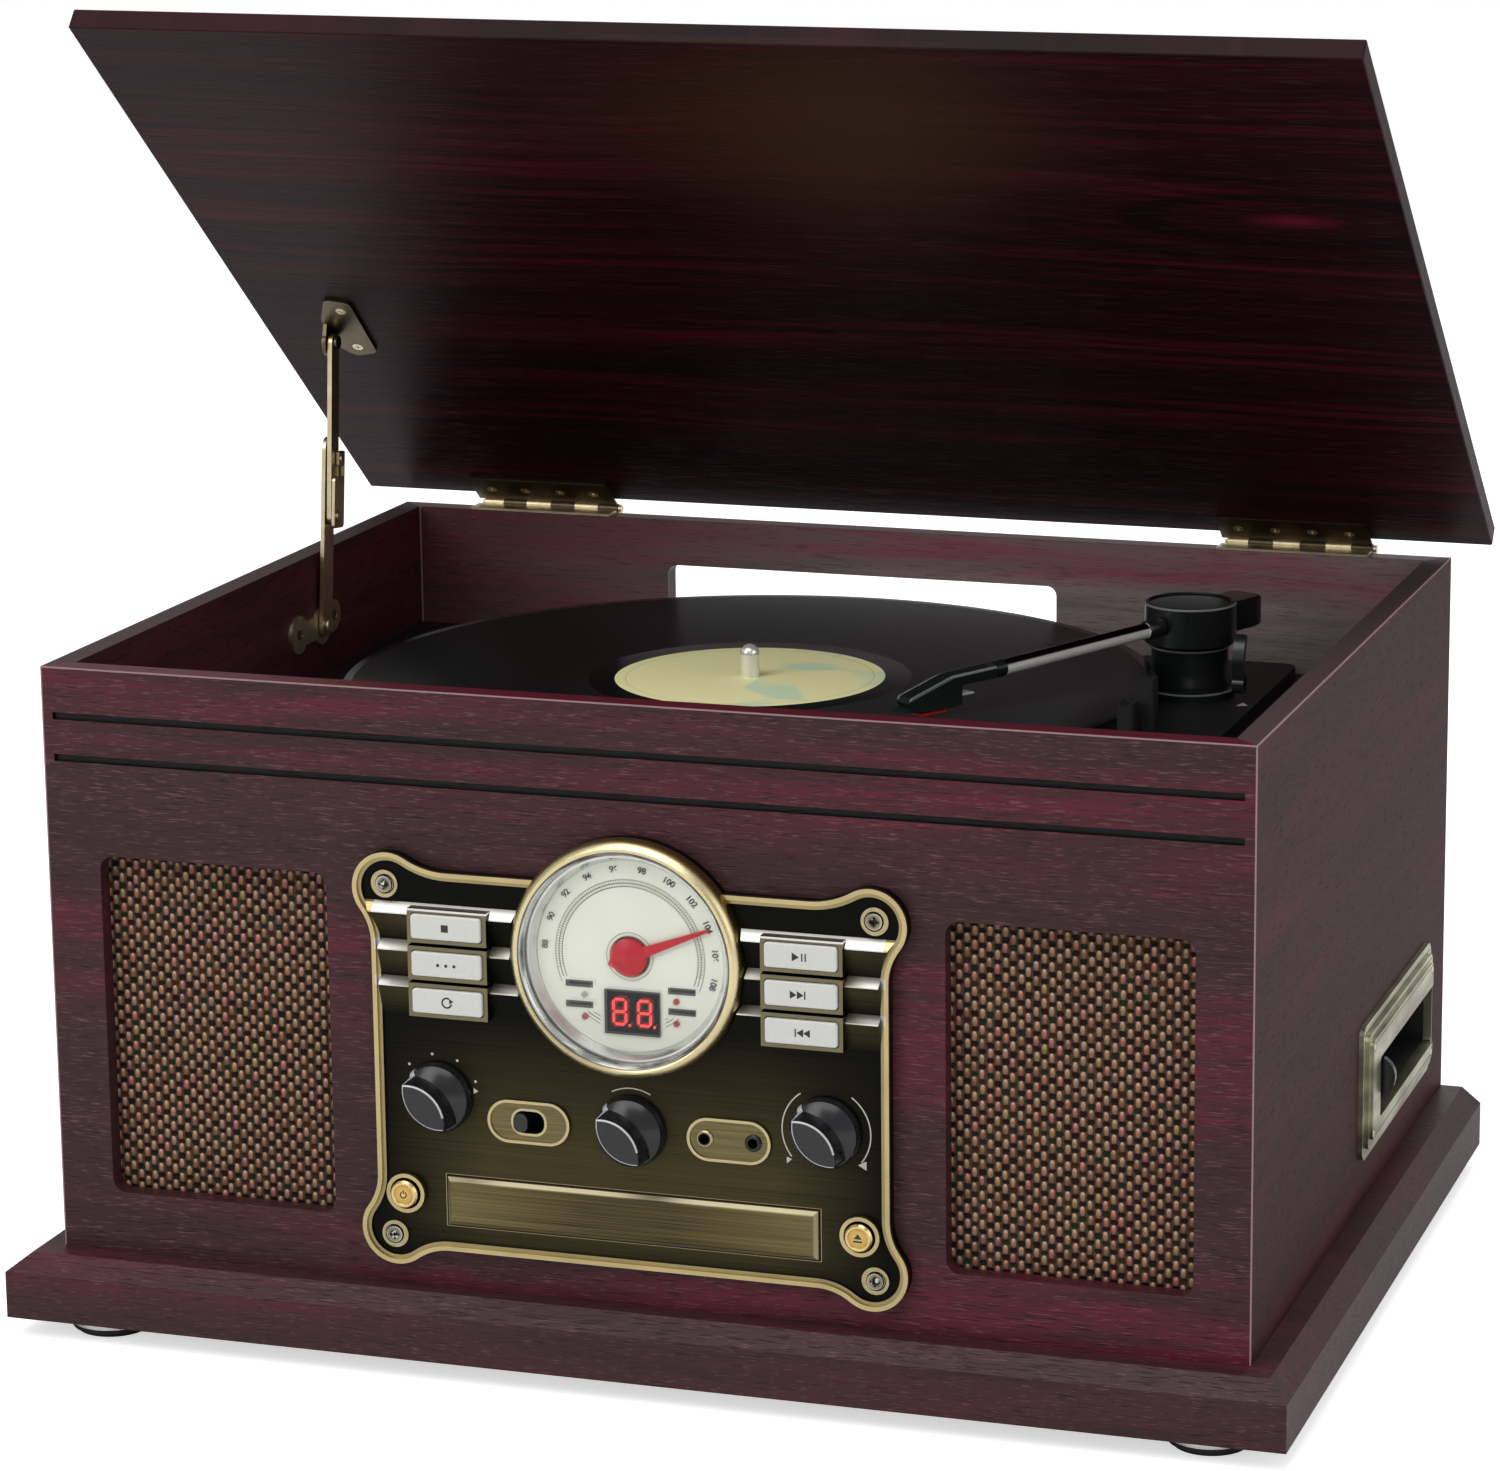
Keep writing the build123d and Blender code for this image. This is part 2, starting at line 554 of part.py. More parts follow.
# upright plane along the headshell: local x forward from the tube's end, local y up from the cabinet's underside
head_plane = Plane(origin=(head_start[0], head_start[1], BED), x_dir=head_axis, z_dir=(head_axis[1], -head_axis[0], 0))
with BuildPart() as headshell:
    # collar over the tube's end
    with BuildSketch(tube_plane.offset(TUBE_END - 5.0)):
        Circle(3.2)
        Circle(TUBE_RADIUS, mode=Mode.SUBTRACT)
    extrude(amount=5.0)
    with BuildSketch(tube_plane.offset(TUBE_END)):
        Circle(3.2)
    extrude(amount=1.5)
    # angular shell that bends down over the cartridge
    with BuildSketch(head_plane):
        with BuildLine():
            Polyline((0.8, 196.8), (0.8, 201.2), (22.0, 200.6), (41.5, 195.3), (43.0, 193.4), (41.5, 192.0),
                     (30.0, 193.9), (21.0, 196.6), close=True)
        make_face()
    extrude(amount=HEAD_WIDTH / 2, both=True)
    chamfer(headshell.edges().filter_by(lambda edge: edge.length > 15).group_by(Axis.Z)[-1], length=0.6)

with BuildPart() as cartridge:
    with BuildSketch(head_plane):
        with BuildLine():
            Polyline((17.5, 189.4), (27.0, 188.9), (38.0, 189.6), (44.5, 190.4), (41.5, 191.9), (30.0, 193.8),
                     (21.0, 196.5), (17.5, 196.6), close=True)
        make_face()
    extrude(amount=HEAD_WIDTH / 2 - 0.4, both=True)
    # four terminal pins out of the back
    for pin_side in (-2.4, -0.8, 0.8, 2.4):
        pin_origin = head_plane.from_local_coords(Vector(17.5, 192.0 + abs(pin_side) % 1.6, pin_side))
        with BuildSketch(Plane(origin=pin_origin, z_dir=(-head_axis[0], -head_axis[1], 0))):
            Circle(0.5)
        extrude(amount=6.0)
save_group([headshell, cartridge], "headshell")

with BuildPart() as stylus:
    # red needle holder clipped under the cartridge, wedge-shaped, with the needle at its front
    with BuildSketch(head_plane):
        with BuildLine():
            Polyline((24.0, 187.6), (24.0, 188.8), (27.0, 188.7), (36.4, 188.5), (36.8, 187.8), (35.5, 187.6),
                     close=True)
        make_face()
    extrude(amount=2.2, both=True)
    needle_top = head_plane.from_local_coords(Vector(35.0, 187.65, 0))
    with Locations((needle_top.X, needle_top.Y, needle_top.Z - 0.15)):
        Cylinder(0.4, 0.34)
save(stylus, "stylus")

REST_X = 140.6
REST_Y = FRONT + 130.0
with BuildPart() as arm_rest:
    # cradle for the tube
    with BuildSketch(Plane.XY.offset(PANEL_TOP)):
        with Locations((REST_X, REST_Y)):
            RectangleRounded(6.4, 8, 1.2)
    extrude(amount=RECORD_TOP + 7.5 - PANEL_TOP)
    with BuildSketch(front_plane(REST_Y - 5)):
        with Locations((REST_X, RECORD_TOP + 8.6)):
            Circle(2.6)
    extrude(amount=-10, mode=Mode.SUBTRACT)
    # taller post with the swivel of the arm lock
    with BuildSketch(Plane.XY.offset(PANEL_TOP)):
        with Locations((145.6, FRONT + 139)):
            RectangleRounded(6.4, 6.4, 1.2)
    extrude(amount=ARM_Z + 2.5 - PANEL_TOP)
    with BuildSketch(Plane.XY.offset(PANEL_TOP)):
        with Locations((143.5, FRONT + 135)):
            RectangleRounded(14, 19, 2)
    extrude(amount=2.0)
save(arm_rest, "arm_rest")

LEVER_X = 154.4
LEVER_Y = FRONT + 243.0
LEVER_Z = PANEL_TOP + 7.0
with BuildPart() as cue_pedestal:
    # two cheeks either side of the lever's hub
    with BuildSketch(side_plane(LEVER_X - 2.6)):
        with Locations((LEVER_Y, PANEL_TOP + 5)):
            RectangleRounded(11, 10, 1.5)
    extrude(amount=-1.6)
    with BuildSketch(side_plane(LEVER_X + 2.6)):
        with Locations((LEVER_Y, PANEL_TOP + 5)):
            RectangleRounded(11, 10, 1.5)
    extrude(amount=1.6)
    with BuildSketch(side_plane(LEVER_X - 4.2)):
        with Locations((LEVER_Y, LEVER_Z)):
            Circle(1.2)
    extrude(amount=8.4)
save_group([tonearm_base, cue_pedestal], "tonearm_base")

with BuildPart() as cue_lever:
    with BuildSketch(side_plane(LEVER_X - 2.2)):
        with Locations((LEVER_Y, LEVER_Z)):
            Circle(3.4)
        with BuildLine():
            lever_front = ThreePointArc((LEVER_Y - 2.2, LEVER_Z + 1.5), (LEVER_Y - 3.0, LEVER_Z + 11),
                                        (LEVER_Y + 1.5, LEVER_Z + 19))
            Line(lever_front @ 1, (LEVER_Y + 4.0, LEVER_Z + 17.6))
            lever_back = ThreePointArc((LEVER_Y + 4.0, LEVER_Z + 17.6), (LEVER_Y + 0.4, LEVER_Z + 10.5),
                                       (LEVER_Y + 1.6, LEVER_Z + 2.0))
            Line(lever_back @ 1, lever_front @ 0)
        make_face()
        with Locations((LEVER_Y, LEVER_Z)):
            Circle(1.25, mode=Mode.SUBTRACT)
    extrude(amount=4.4)
save(cue_lever, "cue_lever")

SWITCH_X = 118.0
SWITCH_Y = FRONT + 100.0
with BuildPart() as speed_switch:
    # sliding thumb piece that stands on the raised panel
    with BuildSketch(Plane.XY.offset(PANEL_TOP + 0.3)):
        with Locations((SWITCH_X, SWITCH_Y)):
            RectangleRounded(6, 5, 1)
    extrude(amount=2.7)
    chamfer(speed_switch.faces().sort_by(Axis.Z)[-1].edges(), length=0.5)
save(speed_switch, "speed_switch")

# ---------------------------------------------------------------- lid, hinges
# lid plane: local x to the right, local y along the lid away from the hinge, local z out of its inner face
lean = math.radians(LID_OPEN_ANGLE)
lid_plane = Plane(origin=(0, PIN_Y, PIN_Z), x_dir=(1, 0, 0), z_dir=(0, -math.sin(lean), -math.cos(lean)))
with BuildPart() as lid_board:
    with BuildSketch(lid_plane.offset(-LID_OFFSET)):
        with Locations((0, LID_SET_BACK + LID_DEPTH / 2)):
            Rectangle(LID_WIDTH, LID_DEPTH)
    extrude(amount=-LID_THICKNESS)
    chamfer(lid_board.edges(), length=0.4)
save(lid_board, "lid_board")

KNUCKLE_GAP = 0.25
cabinet_tabs = [(TAB_EDGES[i], TAB_EDGES[i + 1]) for i in (0, 2, 4)]
lid_tabs = [(TAB_EDGES[1] + KNUCKLE_GAP, TAB_EDGES[2] - KNUCKLE_GAP),
            (TAB_EDGES[3] + KNUCKLE_GAP, TAB_EDGES[4] - KNUCKLE_GAP),
            (TAB_EDGES[5] + KNUCKLE_GAP, HINGE_LENGTH)]
HINGE_STARTS = (-HINGE_CENTRE - HINGE_LENGTH / 2, HINGE_CENTRE - HINGE_LENGTH / 2)


def hinge_leaf(start, tabs, flat, reach, screw_x, screw_y):
    """A leaf whose flat lies just below its local z of 0; knuckles wrap the pin, which runs along local x."""
    with BuildPart() as leaf:
        with BuildSketch(flat.offset(-LID_OFFSET)):
            with Locations((start + HINGE_LENGTH / 2, (reach + BARREL_RADIUS + 0.4) / 2)):
                Rectangle(HINGE_LENGTH, reach - BARREL_RADIUS - 0.4)
            for low, high in tabs:
                with Locations((start + (low + high) / 2, (BARREL_RADIUS + 0.4) / 2)):
                    Rectangle(high - low, BARREL_RADIUS + 0.4)
        extrude(amount=LEAF)
        fillet(leaf.edges().filter_by(Axis(flat.origin, flat.z_dir)).group_by(Axis(flat.origin, flat.y_dir))[-1],
               radius=1.5)
        for low, high in tabs:
            with BuildSketch(Plane(origin=flat.origin + Vector(start + low, 0, 0), x_dir=flat.y_dir, z_dir=(1, 0, 0))):
                Circle(BARREL_RADIUS)
            extrude(amount=high - low)
        with BuildSketch(Plane(origin=flat.origin + Vector(start - 1, 0, 0), x_dir=flat.y_dir, z_dir=(1, 0, 0))):
            Circle(PIN_RADIUS + PIN_CLEARANCE)
        extrude(amount=HINGE_LENGTH + 2, mode=Mode.SUBTRACT)
        with BuildSketch(flat.offset(-LID_OFFSET + LEAF)):
            with Locations(*[(start + HINGE_LENGTH / 2 + x, screw_y) for x in screw_x]):
                Circle(SCREW_SINK)
        extrude(amount=-LEAF, taper=45, mode=Mode.SUBTRACT)
    return leaf


LID_SCREW_X = (-22.1, -7.4, 7.4, 22.1)
CABINET_SCREW_X = (-14.7, 0.0, 14.7)
LEAF_SCREW = 10.5
CABINET_LEAF_SCREW = 7.6
lid_leaves = [hinge_leaf(start, lid_tabs, lid_plane, 18.0, LID_SCREW_X, LEAF_SCREW) for start in HINGE_STARTS]
save_group(lid_leaves, "hinge_lid_leaves")


def cabinet_leaf(start):
    """The fixed leaf: flat on the back board's top edge, knuckles between the lid's."""
    with BuildPart() as leaf:
        with BuildSketch(Plane.XY.offset(RIM)):
            with Locations((start + HINGE_LENGTH / 2, PIN_Y - (12.0 + BARREL_RADIUS + 0.4) / 2)):
                Rectangle(HINGE_LENGTH, 12.0 - BARREL_RADIUS - 0.4)
            for low, high in cabinet_tabs:
                with Locations((start + (low + high) / 2, PIN_Y - (BARREL_RADIUS + 0.4) / 2)):
                    Rectangle(high - low, BARREL_RADIUS + 0.4)
        extrude(amount=LEAF)
        with BuildSketch(Plane.XY.offset(RIM + LEAF)):
            with Locations(*[(start + HINGE_LENGTH / 2 + x, PIN_Y - CABINET_LEAF_SCREW) for x in CABINET_SCREW_X]):
                Circle(SCREW_SINK)
        extrude(amount=-LEAF, taper=45, mode=Mode.SUBTRACT)
        for low, high in cabinet_tabs:
            with BuildSketch(Plane.YZ.offset(start + low)):
                with Locations((PIN_Y, PIN_Z)):
                    Circle(BARREL_RADIUS)
            extrude(amount=high - low)
        with BuildSketch(Plane.YZ.offset(start)):
            with Locations((PIN_Y, PIN_Z)):
                Circle(PIN_RADIUS)
        extrude(amount=HINGE_LENGTH, mode=Mode.SUBTRACT)
    return leaf


def hinge_pin(start):
    with BuildPart() as pin:
        with BuildSketch(Plane.YZ.offset(start + 1.0)):
            with Locations((PIN_Y, PIN_Z)):
                Circle(PIN_RADIUS)
        extrude(amount=HINGE_LENGTH)
        with BuildSketch(Plane.YZ.offset(start + HINGE_LENGTH + 0.3)):
            with Locations((PIN_Y, PIN_Z)):
                Circle(BARREL_RADIUS - 0.3)
        extrude(amount=1.2)
    return pin


save_group([make(start) for start in HINGE_STARTS for make in (cabinet_leaf, hinge_pin)], "hinge_cabinet_leaves")

# ---------------------------------------------------------------- lid stay, in the plane of the left board
STAY_FOOT = (FRONT + 217.0, BED + 184.0)
STAY_ELBOW = (FRONT + 221.6, BED + 226.8)
STAY_HEAD = (131.5, 4.2)            # along the lid from the hinge pin, and out of its inner face
STAY_WALL = -INNER                  # inner face of the left board
LOWER_X = (STAY_WALL + 1.8, STAY_WALL + 3.4)
UPPER_X = (STAY_WALL + 3.9, STAY_WALL + 5.7)
CHEEK_X = (STAY_WALL + 6.1, STAY_WALL + 7.3)
ARM_EXTENSION = 31.0                # lower arm beyond the elbow
RIVET = 1.5
RIVET_CLEARANCE = 0.06
BRACKET = 1.4
LID_BRACKET = 1.2

stay_head = lid_plane.from_local_coords(Vector(0, STAY_HEAD[0], STAY_HEAD[1]))
lower_length = math.hypot(STAY_ELBOW[0] - STAY_FOOT[0], STAY_ELBOW[1] - STAY_FOOT[1])
upper_length = math.hypot(stay_head.Y - STAY_ELBOW[0], stay_head.Z - STAY_ELBOW[1])


def stay_plane(start, end, x):
    """Plane facing +X at x, its origin at start and its local x towards end; local -y is to the rear."""
    return Plane(origin=(x, start[0], start[1]), x_dir=(0, end[0] - start[0], end[1] - start[1]), z_dir=(1, 0, 0))


with BuildPart() as stay_lower_arm:
    lower_plane = stay_plane(STAY_FOOT, STAY_ELBOW, LOWER_X[0])
    with BuildSketch(lower_plane):
        with Locations(((lower_length + ARM_EXTENSION) / 2 - 2.25, 0)):
            SlotOverall(lower_length + ARM_EXTENSION + 4.5, 9)
        Circle(RIVET + RIVET_CLEARANCE, mode=Mode.SUBTRACT)
    extrude(amount=span(LOWER_X))
    # folded web behind the elbow, with two tabs over the upper arm
    with BuildSketch(lower_plane):
        with Locations((lower_length + (ARM_EXTENSION - 4.5) / 2 - 2.25, -4.9)):
            Rectangle(ARM_EXTENSION - 4.5 + 2.0, 0.9)
    extrude(amount=CHEEK_X[1] - LOWER_X[0])
    with BuildSketch(lower_plane.offset(CHEEK_X[0] - LOWER_X[0])):
        with Locations((lower_length + 5.5, -0.7)):
            RectangleRounded(20, 9.2, 1.5)
        with Locations((lower_length + 22.5, -2.6)):
            RectangleRounded(6, 5.4, 1.0)
    extrude(amount=span(CHEEK_X))
    # rivet heads at the elbow, on both outer faces
    with BuildSketch(lower_plane):
        with Locations((lower_length, 0)):
            Circle(2.2)
    extrude(amount=-0.8)
    with BuildSketch(lower_plane.offset(CHEEK_X[1] - LOWER_X[0])):
        with Locations((lower_length, 0)):
            Circle(2.2)
        with Locations((lower_length + 22.5, -1.8)):
            Circle(1.5)
    extrude(amount=0.7)
save(stay_lower_arm, "stay_lower_arm")

with BuildPart() as stay_upper_arm:
    upper_plane = stay_plane(STAY_ELBOW, (stay_head.Y, stay_head.Z), UPPER_X[0])
    with BuildSketch(upper_plane):
        with Locations((upper_length / 2, 0)):
            SlotOverall(upper_length + 7.0, 7.0)
        with Locations((0, 0), (upper_length, 0)):
            Circle(RIVET + RIVET_CLEARANCE, mode=Mode.SUBTRACT)
    extrude(amount=span(UPPER_X))
save(stay_upper_arm, "stay_upper_arm")

with BuildPart() as stay_cabinet_bracket:
    # plate with a lobe for each screw and one under the pivot
    with BuildSketch(side_plane(STAY_WALL)):
        with BuildLine():
            Polyline((STAY_FOOT[0] - 22, STAY_FOOT[1] - 4.5), (STAY_FOOT[0] + 11, STAY_FOOT[1] - 4.5),
                     (STAY_FOOT[0] + 11, STAY_FOOT[1] + 4.5), (STAY_FOOT[0] - 22, STAY_FOOT[1] + 4.5), close=True)
        make_face()
        with Locations((STAY_FOOT[0] - 22, STAY_FOOT[1] + 0.5), STAY_FOOT):
            Circle(7.5)
        with Locations((STAY_FOOT[0] + 11, STAY_FOOT[1] + 2)):
            Circle(6)
        with Locations((STAY_FOOT[0] - 22, STAY_FOOT[1] + 0.5), (STAY_FOOT[0] + 11, STAY_FOOT[1] + 2)):
            Circle(SCREW_HOLE, mode=Mode.SUBTRACT)
    extrude(amount=BRACKET)
    with BuildSketch(side_plane(STAY_WALL + BRACKET)):
        with Locations((STAY_FOOT[0] - 22, STAY_FOOT[1] + 0.5), (STAY_FOOT[0] + 11, STAY_FOOT[1] + 2)):
            Circle(SCREW_SINK)
    extrude(amount=-LEAF, taper=45, mode=Mode.SUBTRACT)
    # pivot rivet through the lower arm
    with BuildSketch(side_plane(STAY_WALL + BRACKET)):
        with Locations(STAY_FOOT):
            Circle(RIVET)
    extrude(amount=LOWER_X[1] - STAY_WALL - BRACKET + 0.3)
    with BuildSketch(side_plane(LOWER_X[1] + 0.3)):
        with Locations(STAY_FOOT):
            Circle(2.8)
    extrude(amount=1.0)
    fillet(stay_cabinet_bracket.faces().sort_by(Axis.X)[-1].edges(), radius=0.5)
save(stay_cabinet_bracket, "stay_cabinet_bracket")

FLANGE_X = (STAY_WALL + 2.0, STAY_WALL + 3.5)
LID_BRACKET_SCREWS = ((-196.1, 148.3), (-198.4, 121.8))
with BuildPart() as stay_lid_bracket:
    # rounded triangular plate on the lid
    with BuildSketch(lid_plane.offset(-LID_OFFSET)):
        with BuildLine():
            Polyline((FLANGE_X[0], 122), (FLANGE_X[0], 141), (-200.5, 156.5), (-190.5, 154.5), (-191.5, 118.0),
                     (-201, 114.9), close=True)
        make_face()
        fillet(vertices(), radius=3)
        with Locations(*LID_BRACKET_SCREWS):
            Circle(SCREW_HOLE, mode=Mode.SUBTRACT)
    extrude(amount=LID_BRACKET)
    with BuildSketch(lid_plane.offset(-LID_OFFSET + LID_BRACKET)):
        with Locations(*LID_BRACKET_SCREWS):
            Circle(SCREW_SINK)
    extrude(amount=-LEAF, taper=45, mode=Mode.SUBTRACT)
    # flange bent down beside the arm
    with BuildSketch(Plane(origin=(FLANGE_X[0], PIN_Y, PIN_Z), x_dir=lid_plane.y_dir, z_dir=(1, 0, 0))):
        with BuildLine():
            Line((139, -LID_OFFSET), (136.5, 4.5))
            ThreePointArc((136.5, 4.5), (STAY_HEAD[0], STAY_HEAD[1] + 5.2), (126.5, 4.5))
            Polyline((126.5, 4.5), (124, -LID_OFFSET), (139, -LID_OFFSET))
        make_face()
    extrude(amount=span(FLANGE_X))
    with BuildSketch(side_plane(FLANGE_X[1])):
        with Locations((stay_head.Y, stay_head.Z)):
            Circle(RIVET)
    extrude(amount=UPPER_X[1] - FLANGE_X[1] + 0.3)
    with BuildSketch(side_plane(UPPER_X[1] + 0.3)):
        with Locations((stay_head.Y, stay_head.Z)):
            Circle(2.6)
    extrude(amount=1.0)
save(stay_lid_bracket, "stay_lid_bracket")

# ---------------------------------------------------------------- fascia
EAR_TOP = (87.2, BED + 143.5)       # centres of the rounded ears
EAR_LOW = (87.0, BED + 20.8)
EAR_RADIUS = 12.9
FASCIA_TOP = BED + 150.5
FASCIA_LOW = BED + 14.5
FASCIA_SIDE = 93.5


def on_circle(centre, angle, radius):
    return (centre[0] + radius * math.cos(math.radians(angle)), centre[1] + radius * math.sin(math.radians(angle)))


def hollow(ear, edge, upright, radius, turn):
    """Hollow arc from a straight edge into an ear: its start on the edge, its middle, its end on the ear."""
    across = edge + turn * radius - (ear[0] if upright else ear[1])
    along = math.sqrt((radius + EAR_RADIUS) ** 2 - across ** 2)
    if upright:
        away = -1 if ear[1] > BED + 80 else 1
        centre = Vector(edge + radius, ear[1] + away * along)
        start = Vector(edge, centre.Y)
    else:
        centre = Vector(ear[0] - along, edge + turn * radius)
        start = Vector(centre.X, edge)
    end = centre + (Vector(*ear) - centre).normalized() * radius
    halfway = centre + ((start - centre) + (end - centre)).normalized() * radius
    return start, halfway, end


def fascia_half():
    """Right half of the fascia's outline, from the top middle to the bottom middle, with its two ears."""
    top = hollow(EAR_TOP, FASCIA_TOP, False, 30.0, 1)
    upper = hollow(EAR_TOP, FASCIA_SIDE, True, 20.0, 1)
    lower = hollow(EAR_LOW, FASCIA_SIDE, True, 20.0, 1)
    base = hollow(EAR_LOW, FASCIA_LOW, False, 20.0, -1)
    Line((0, FASCIA_TOP), top[0])
    ThreePointArc(*top)
    ThreePointArc(top[2], on_circle(EAR_TOP, 42, EAR_RADIUS), upper[2])
    ThreePointArc(upper[2], upper[1], upper[0])
    Line(upper[0], lower[0])
    ThreePointArc(*lower)
    ThreePointArc(lower[2], on_circle(EAR_LOW, -40, EAR_RADIUS), base[2])
    ThreePointArc(base[2], base[1], base[0])
    Line(base[0], (0, FASCIA_LOW))


with BuildSketch() as fascia_outline:
    with BuildLine():
        fascia_half()
        mirror(about=Plane.YZ)
    make_face()
with BuildSketch() as rim_outer:
    add(fascia_outline.sketch)
    offset(amount=-1.6, mode=Mode.REPLACE)
with BuildSketch() as rim_inner:
    add(fascia_outline.sketch)
    offset(amount=-RIM_WIDTH, mode=Mode.REPLACE)

BUTTON_PLACES = [(side * BUTTON_X, z) for z in BUTTON_ROWS for side in (-1, 1)]
FRAME_BORDER = 1.3
FRAME_HEIGHT = 5.2
LOUVRE_TOPS = (BED + 138.4, BED + 124.9, BED + 111.8)
LOUVRE_LEDGES = (3.0, 2.6, 2.3)
LOUVRE_BOTTOMS = (BED + 124.9, BED + 111.8, BED + 98.5)
LOUVRE_DEPTH = 3.6
LEDGE_SKIN = 0.5
SCREW_PLACES = [(side * x, z) for x, z in ((88.5, BED + 145.0), (88.0, BED + 18.5)) for side in (-1, 1)]
SWITCH_PLACE = (-37.0, BED + 63.6)
SWITCH_OPENING = (11.4, 8.0, 3.6)
JACK_PLACES = ((27.3, BED + 63.7), (44.8, BED + 63.6))
JACK_BORE = 1.8
POST_PLACES = ((-46, BED + 140), (46, BED + 140), (-46, BED + 50), (46, BED + 50))

with BuildSketch() as louvre_area:
    # where the louvres show: inside the rim, clear of the dial and of the button frames
    add(rim_inner.sketch)
    with Locations((0, BED + 60)):
        Rectangle(220, 74, mode=Mode.SUBTRACT)
    with Locations((DIAL_X, DIAL_Z)):
        Circle(BEZEL_RADIUS + 0.6, mode=Mode.SUBTRACT)
    with Locations(*BUTTON_PLACES):
        Rectangle(BUTTON_WIDTH + 2 * GAP + 2 * FRAME_BORDER, BUTTON_HEIGHT + 2 * GAP + 2 * FRAME_BORDER,
                  mode=Mode.SUBTRACT)


def saw_tooth():
    """Section of all the louvres in (y, z): each goes out along its short ledge and back along its long face."""
    points = [(FASCIA_FACE + 1, LOUVRE_TOPS[0]), (FASCIA_FACE, LOUVRE_TOPS[0])]
    for top, ledge, bottom in zip(LOUVRE_TOPS, LOUVRE_LEDGES, LOUVRE_BOTTOMS):
        points += [(FASCIA_FACE - LOUVRE_DEPTH, top - ledge), (FASCIA_FACE, bottom)]
    return points + [(FASCIA_FACE + 1, LOUVRE_BOTTOMS[-1])]


def ledge_skin(top, ledge):
    """Bright strip laid on a louvre's ledge, its root cut back to the long face above."""
    return [(FASCIA_FACE, top), (FASCIA_FACE - 0.2, top + LEDGE_SKIN),
            (FASCIA_FACE - LOUVRE_DEPTH, top - ledge + LEDGE_SKIN), (FASCIA_FACE - LOUVRE_DEPTH, top - ledge)]


def louvres(sections):
    with BuildPart() as rows:
        with BuildSketch(Plane.YZ.offset(-100)):
            for section in sections:
                with BuildLine():
                    Polyline(*section, close=True)
                make_face()
        extrude(amount=200)
        with BuildSketch(front_plane(FASCIA_FACE + 1)):
            add(louvre_area.sketch)
        extrude(amount=LOUVRE_DEPTH + 2, mode=Mode.INTERSECT)
    return rows


tooth_rows = louvres([saw_tooth()])
ledge_rows = louvres([ledge_skin(*row) for row in zip(LOUVRE_TOPS, LOUVRE_LEDGES)])

with BuildPart() as fascia_plate:
    with BuildSketch(front_plane(FRONT)):
        add(fascia_outline.sketch)
        with Locations((DIAL_X, DIAL_Z)):
            Circle(BEZEL_RADIUS)
    extrude(amount=FASCIA)
    add(tooth_rows.part)
    # posts for the control board
    with BuildSketch(front_plane(FRONT)):
        with Locations(*POST_PLACES):
            Circle(2.5)
    extrude(amount=-14)
    # openings: dial, buttons, drawer, knob shafts, switch, jacks, round buttons, screws
    with BuildSketch(front_plane(FRONT)):
        with Locations((DIAL_X, DIAL_Z)):
            Circle(DIAL_RADIUS)
        with Locations(*BUTTON_PLACES):
            RectangleRounded(BUTTON_WIDTH + 2 * GAP, BUTTON_HEIGHT + 2 * GAP, 1.5)
        with Locations((0, middle(DRAWER_Z))):
            Rectangle(2 * (DRAWER_HALF + 0.7), span(DRAWER_Z) + 1.4)
        with Locations(*KNOBS.values()):
            Circle(SHAFT_RADIUS + 0.3)
        with Locations(SWITCH_PLACE):
            RectangleRounded(*SWITCH_OPENING)
        with Locations(*JACK_PLACES):
            Circle(3.0)
        with Locations((-ROUND_BUTTON_X, ROUND_BUTTON_Z), (ROUND_BUTTON_X, ROUND_BUTTON_Z)):
            Circle(5.0 + GAP)
        with Locations(*SCREW_PLACES):
            Circle(1.6)
    extrude(amount=FASCIA + LOUVRE_DEPTH + 1, mode=Mode.SUBTRACT)
save(fascia_plate, "fascia_plate")

with BuildPart() as fascia_rim:
    # two-step bright edge, cut away where the dial's ring sits
    with BuildSketch(front_plane(FASCIA_FACE)):
        add(fascia_outline.sketch)
        add(rim_inner.sketch, mode=Mode.SUBTRACT)
    extrude(amount=RIM_HEIGHT / 2)
    with BuildSketch(front_plane(FASCIA_FACE)):
        add(fascia_outline.sketch)
        add(rim_outer.sketch, mode=Mode.SUBTRACT)
    extrude(amount=RIM_HEIGHT)
    with BuildSketch(front_plane(FASCIA_FACE)):
        with Locations((DIAL_X, DIAL_Z)):
            Circle(BEZEL_RADIUS)
    extrude(amount=RIM_HEIGHT, mode=Mode.SUBTRACT)

with BuildPart() as button_frames:
    with BuildSketch(front_plane(FASCIA_FACE)):
        with Locations(*BUTTON_PLACES):
            Rectangle(BUTTON_WIDTH + 2 * GAP + 2 * FRAME_BORDER, BUTTON_HEIGHT + 2 * GAP + 2 * FRAME_BORDER)
            RectangleRounded(BUTTON_WIDTH + 2 * GAP, BUTTON_HEIGHT + 2 * GAP, 1.5, mode=Mode.SUBTRACT)
    extrude(amount=FRAME_HEIGHT)
    # rings round the power and drawer buttons
    with BuildSketch(front_plane(FASCIA_FACE)):
        with Locations((-ROUND_BUTTON_X, ROUND_BUTTON_Z), (ROUND_BUTTON_X, ROUND_BUTTON_Z)):
            Circle(7.1)
            Circle(5.7, mode=Mode.SUBTRACT)
    extrude(amount=2.6)

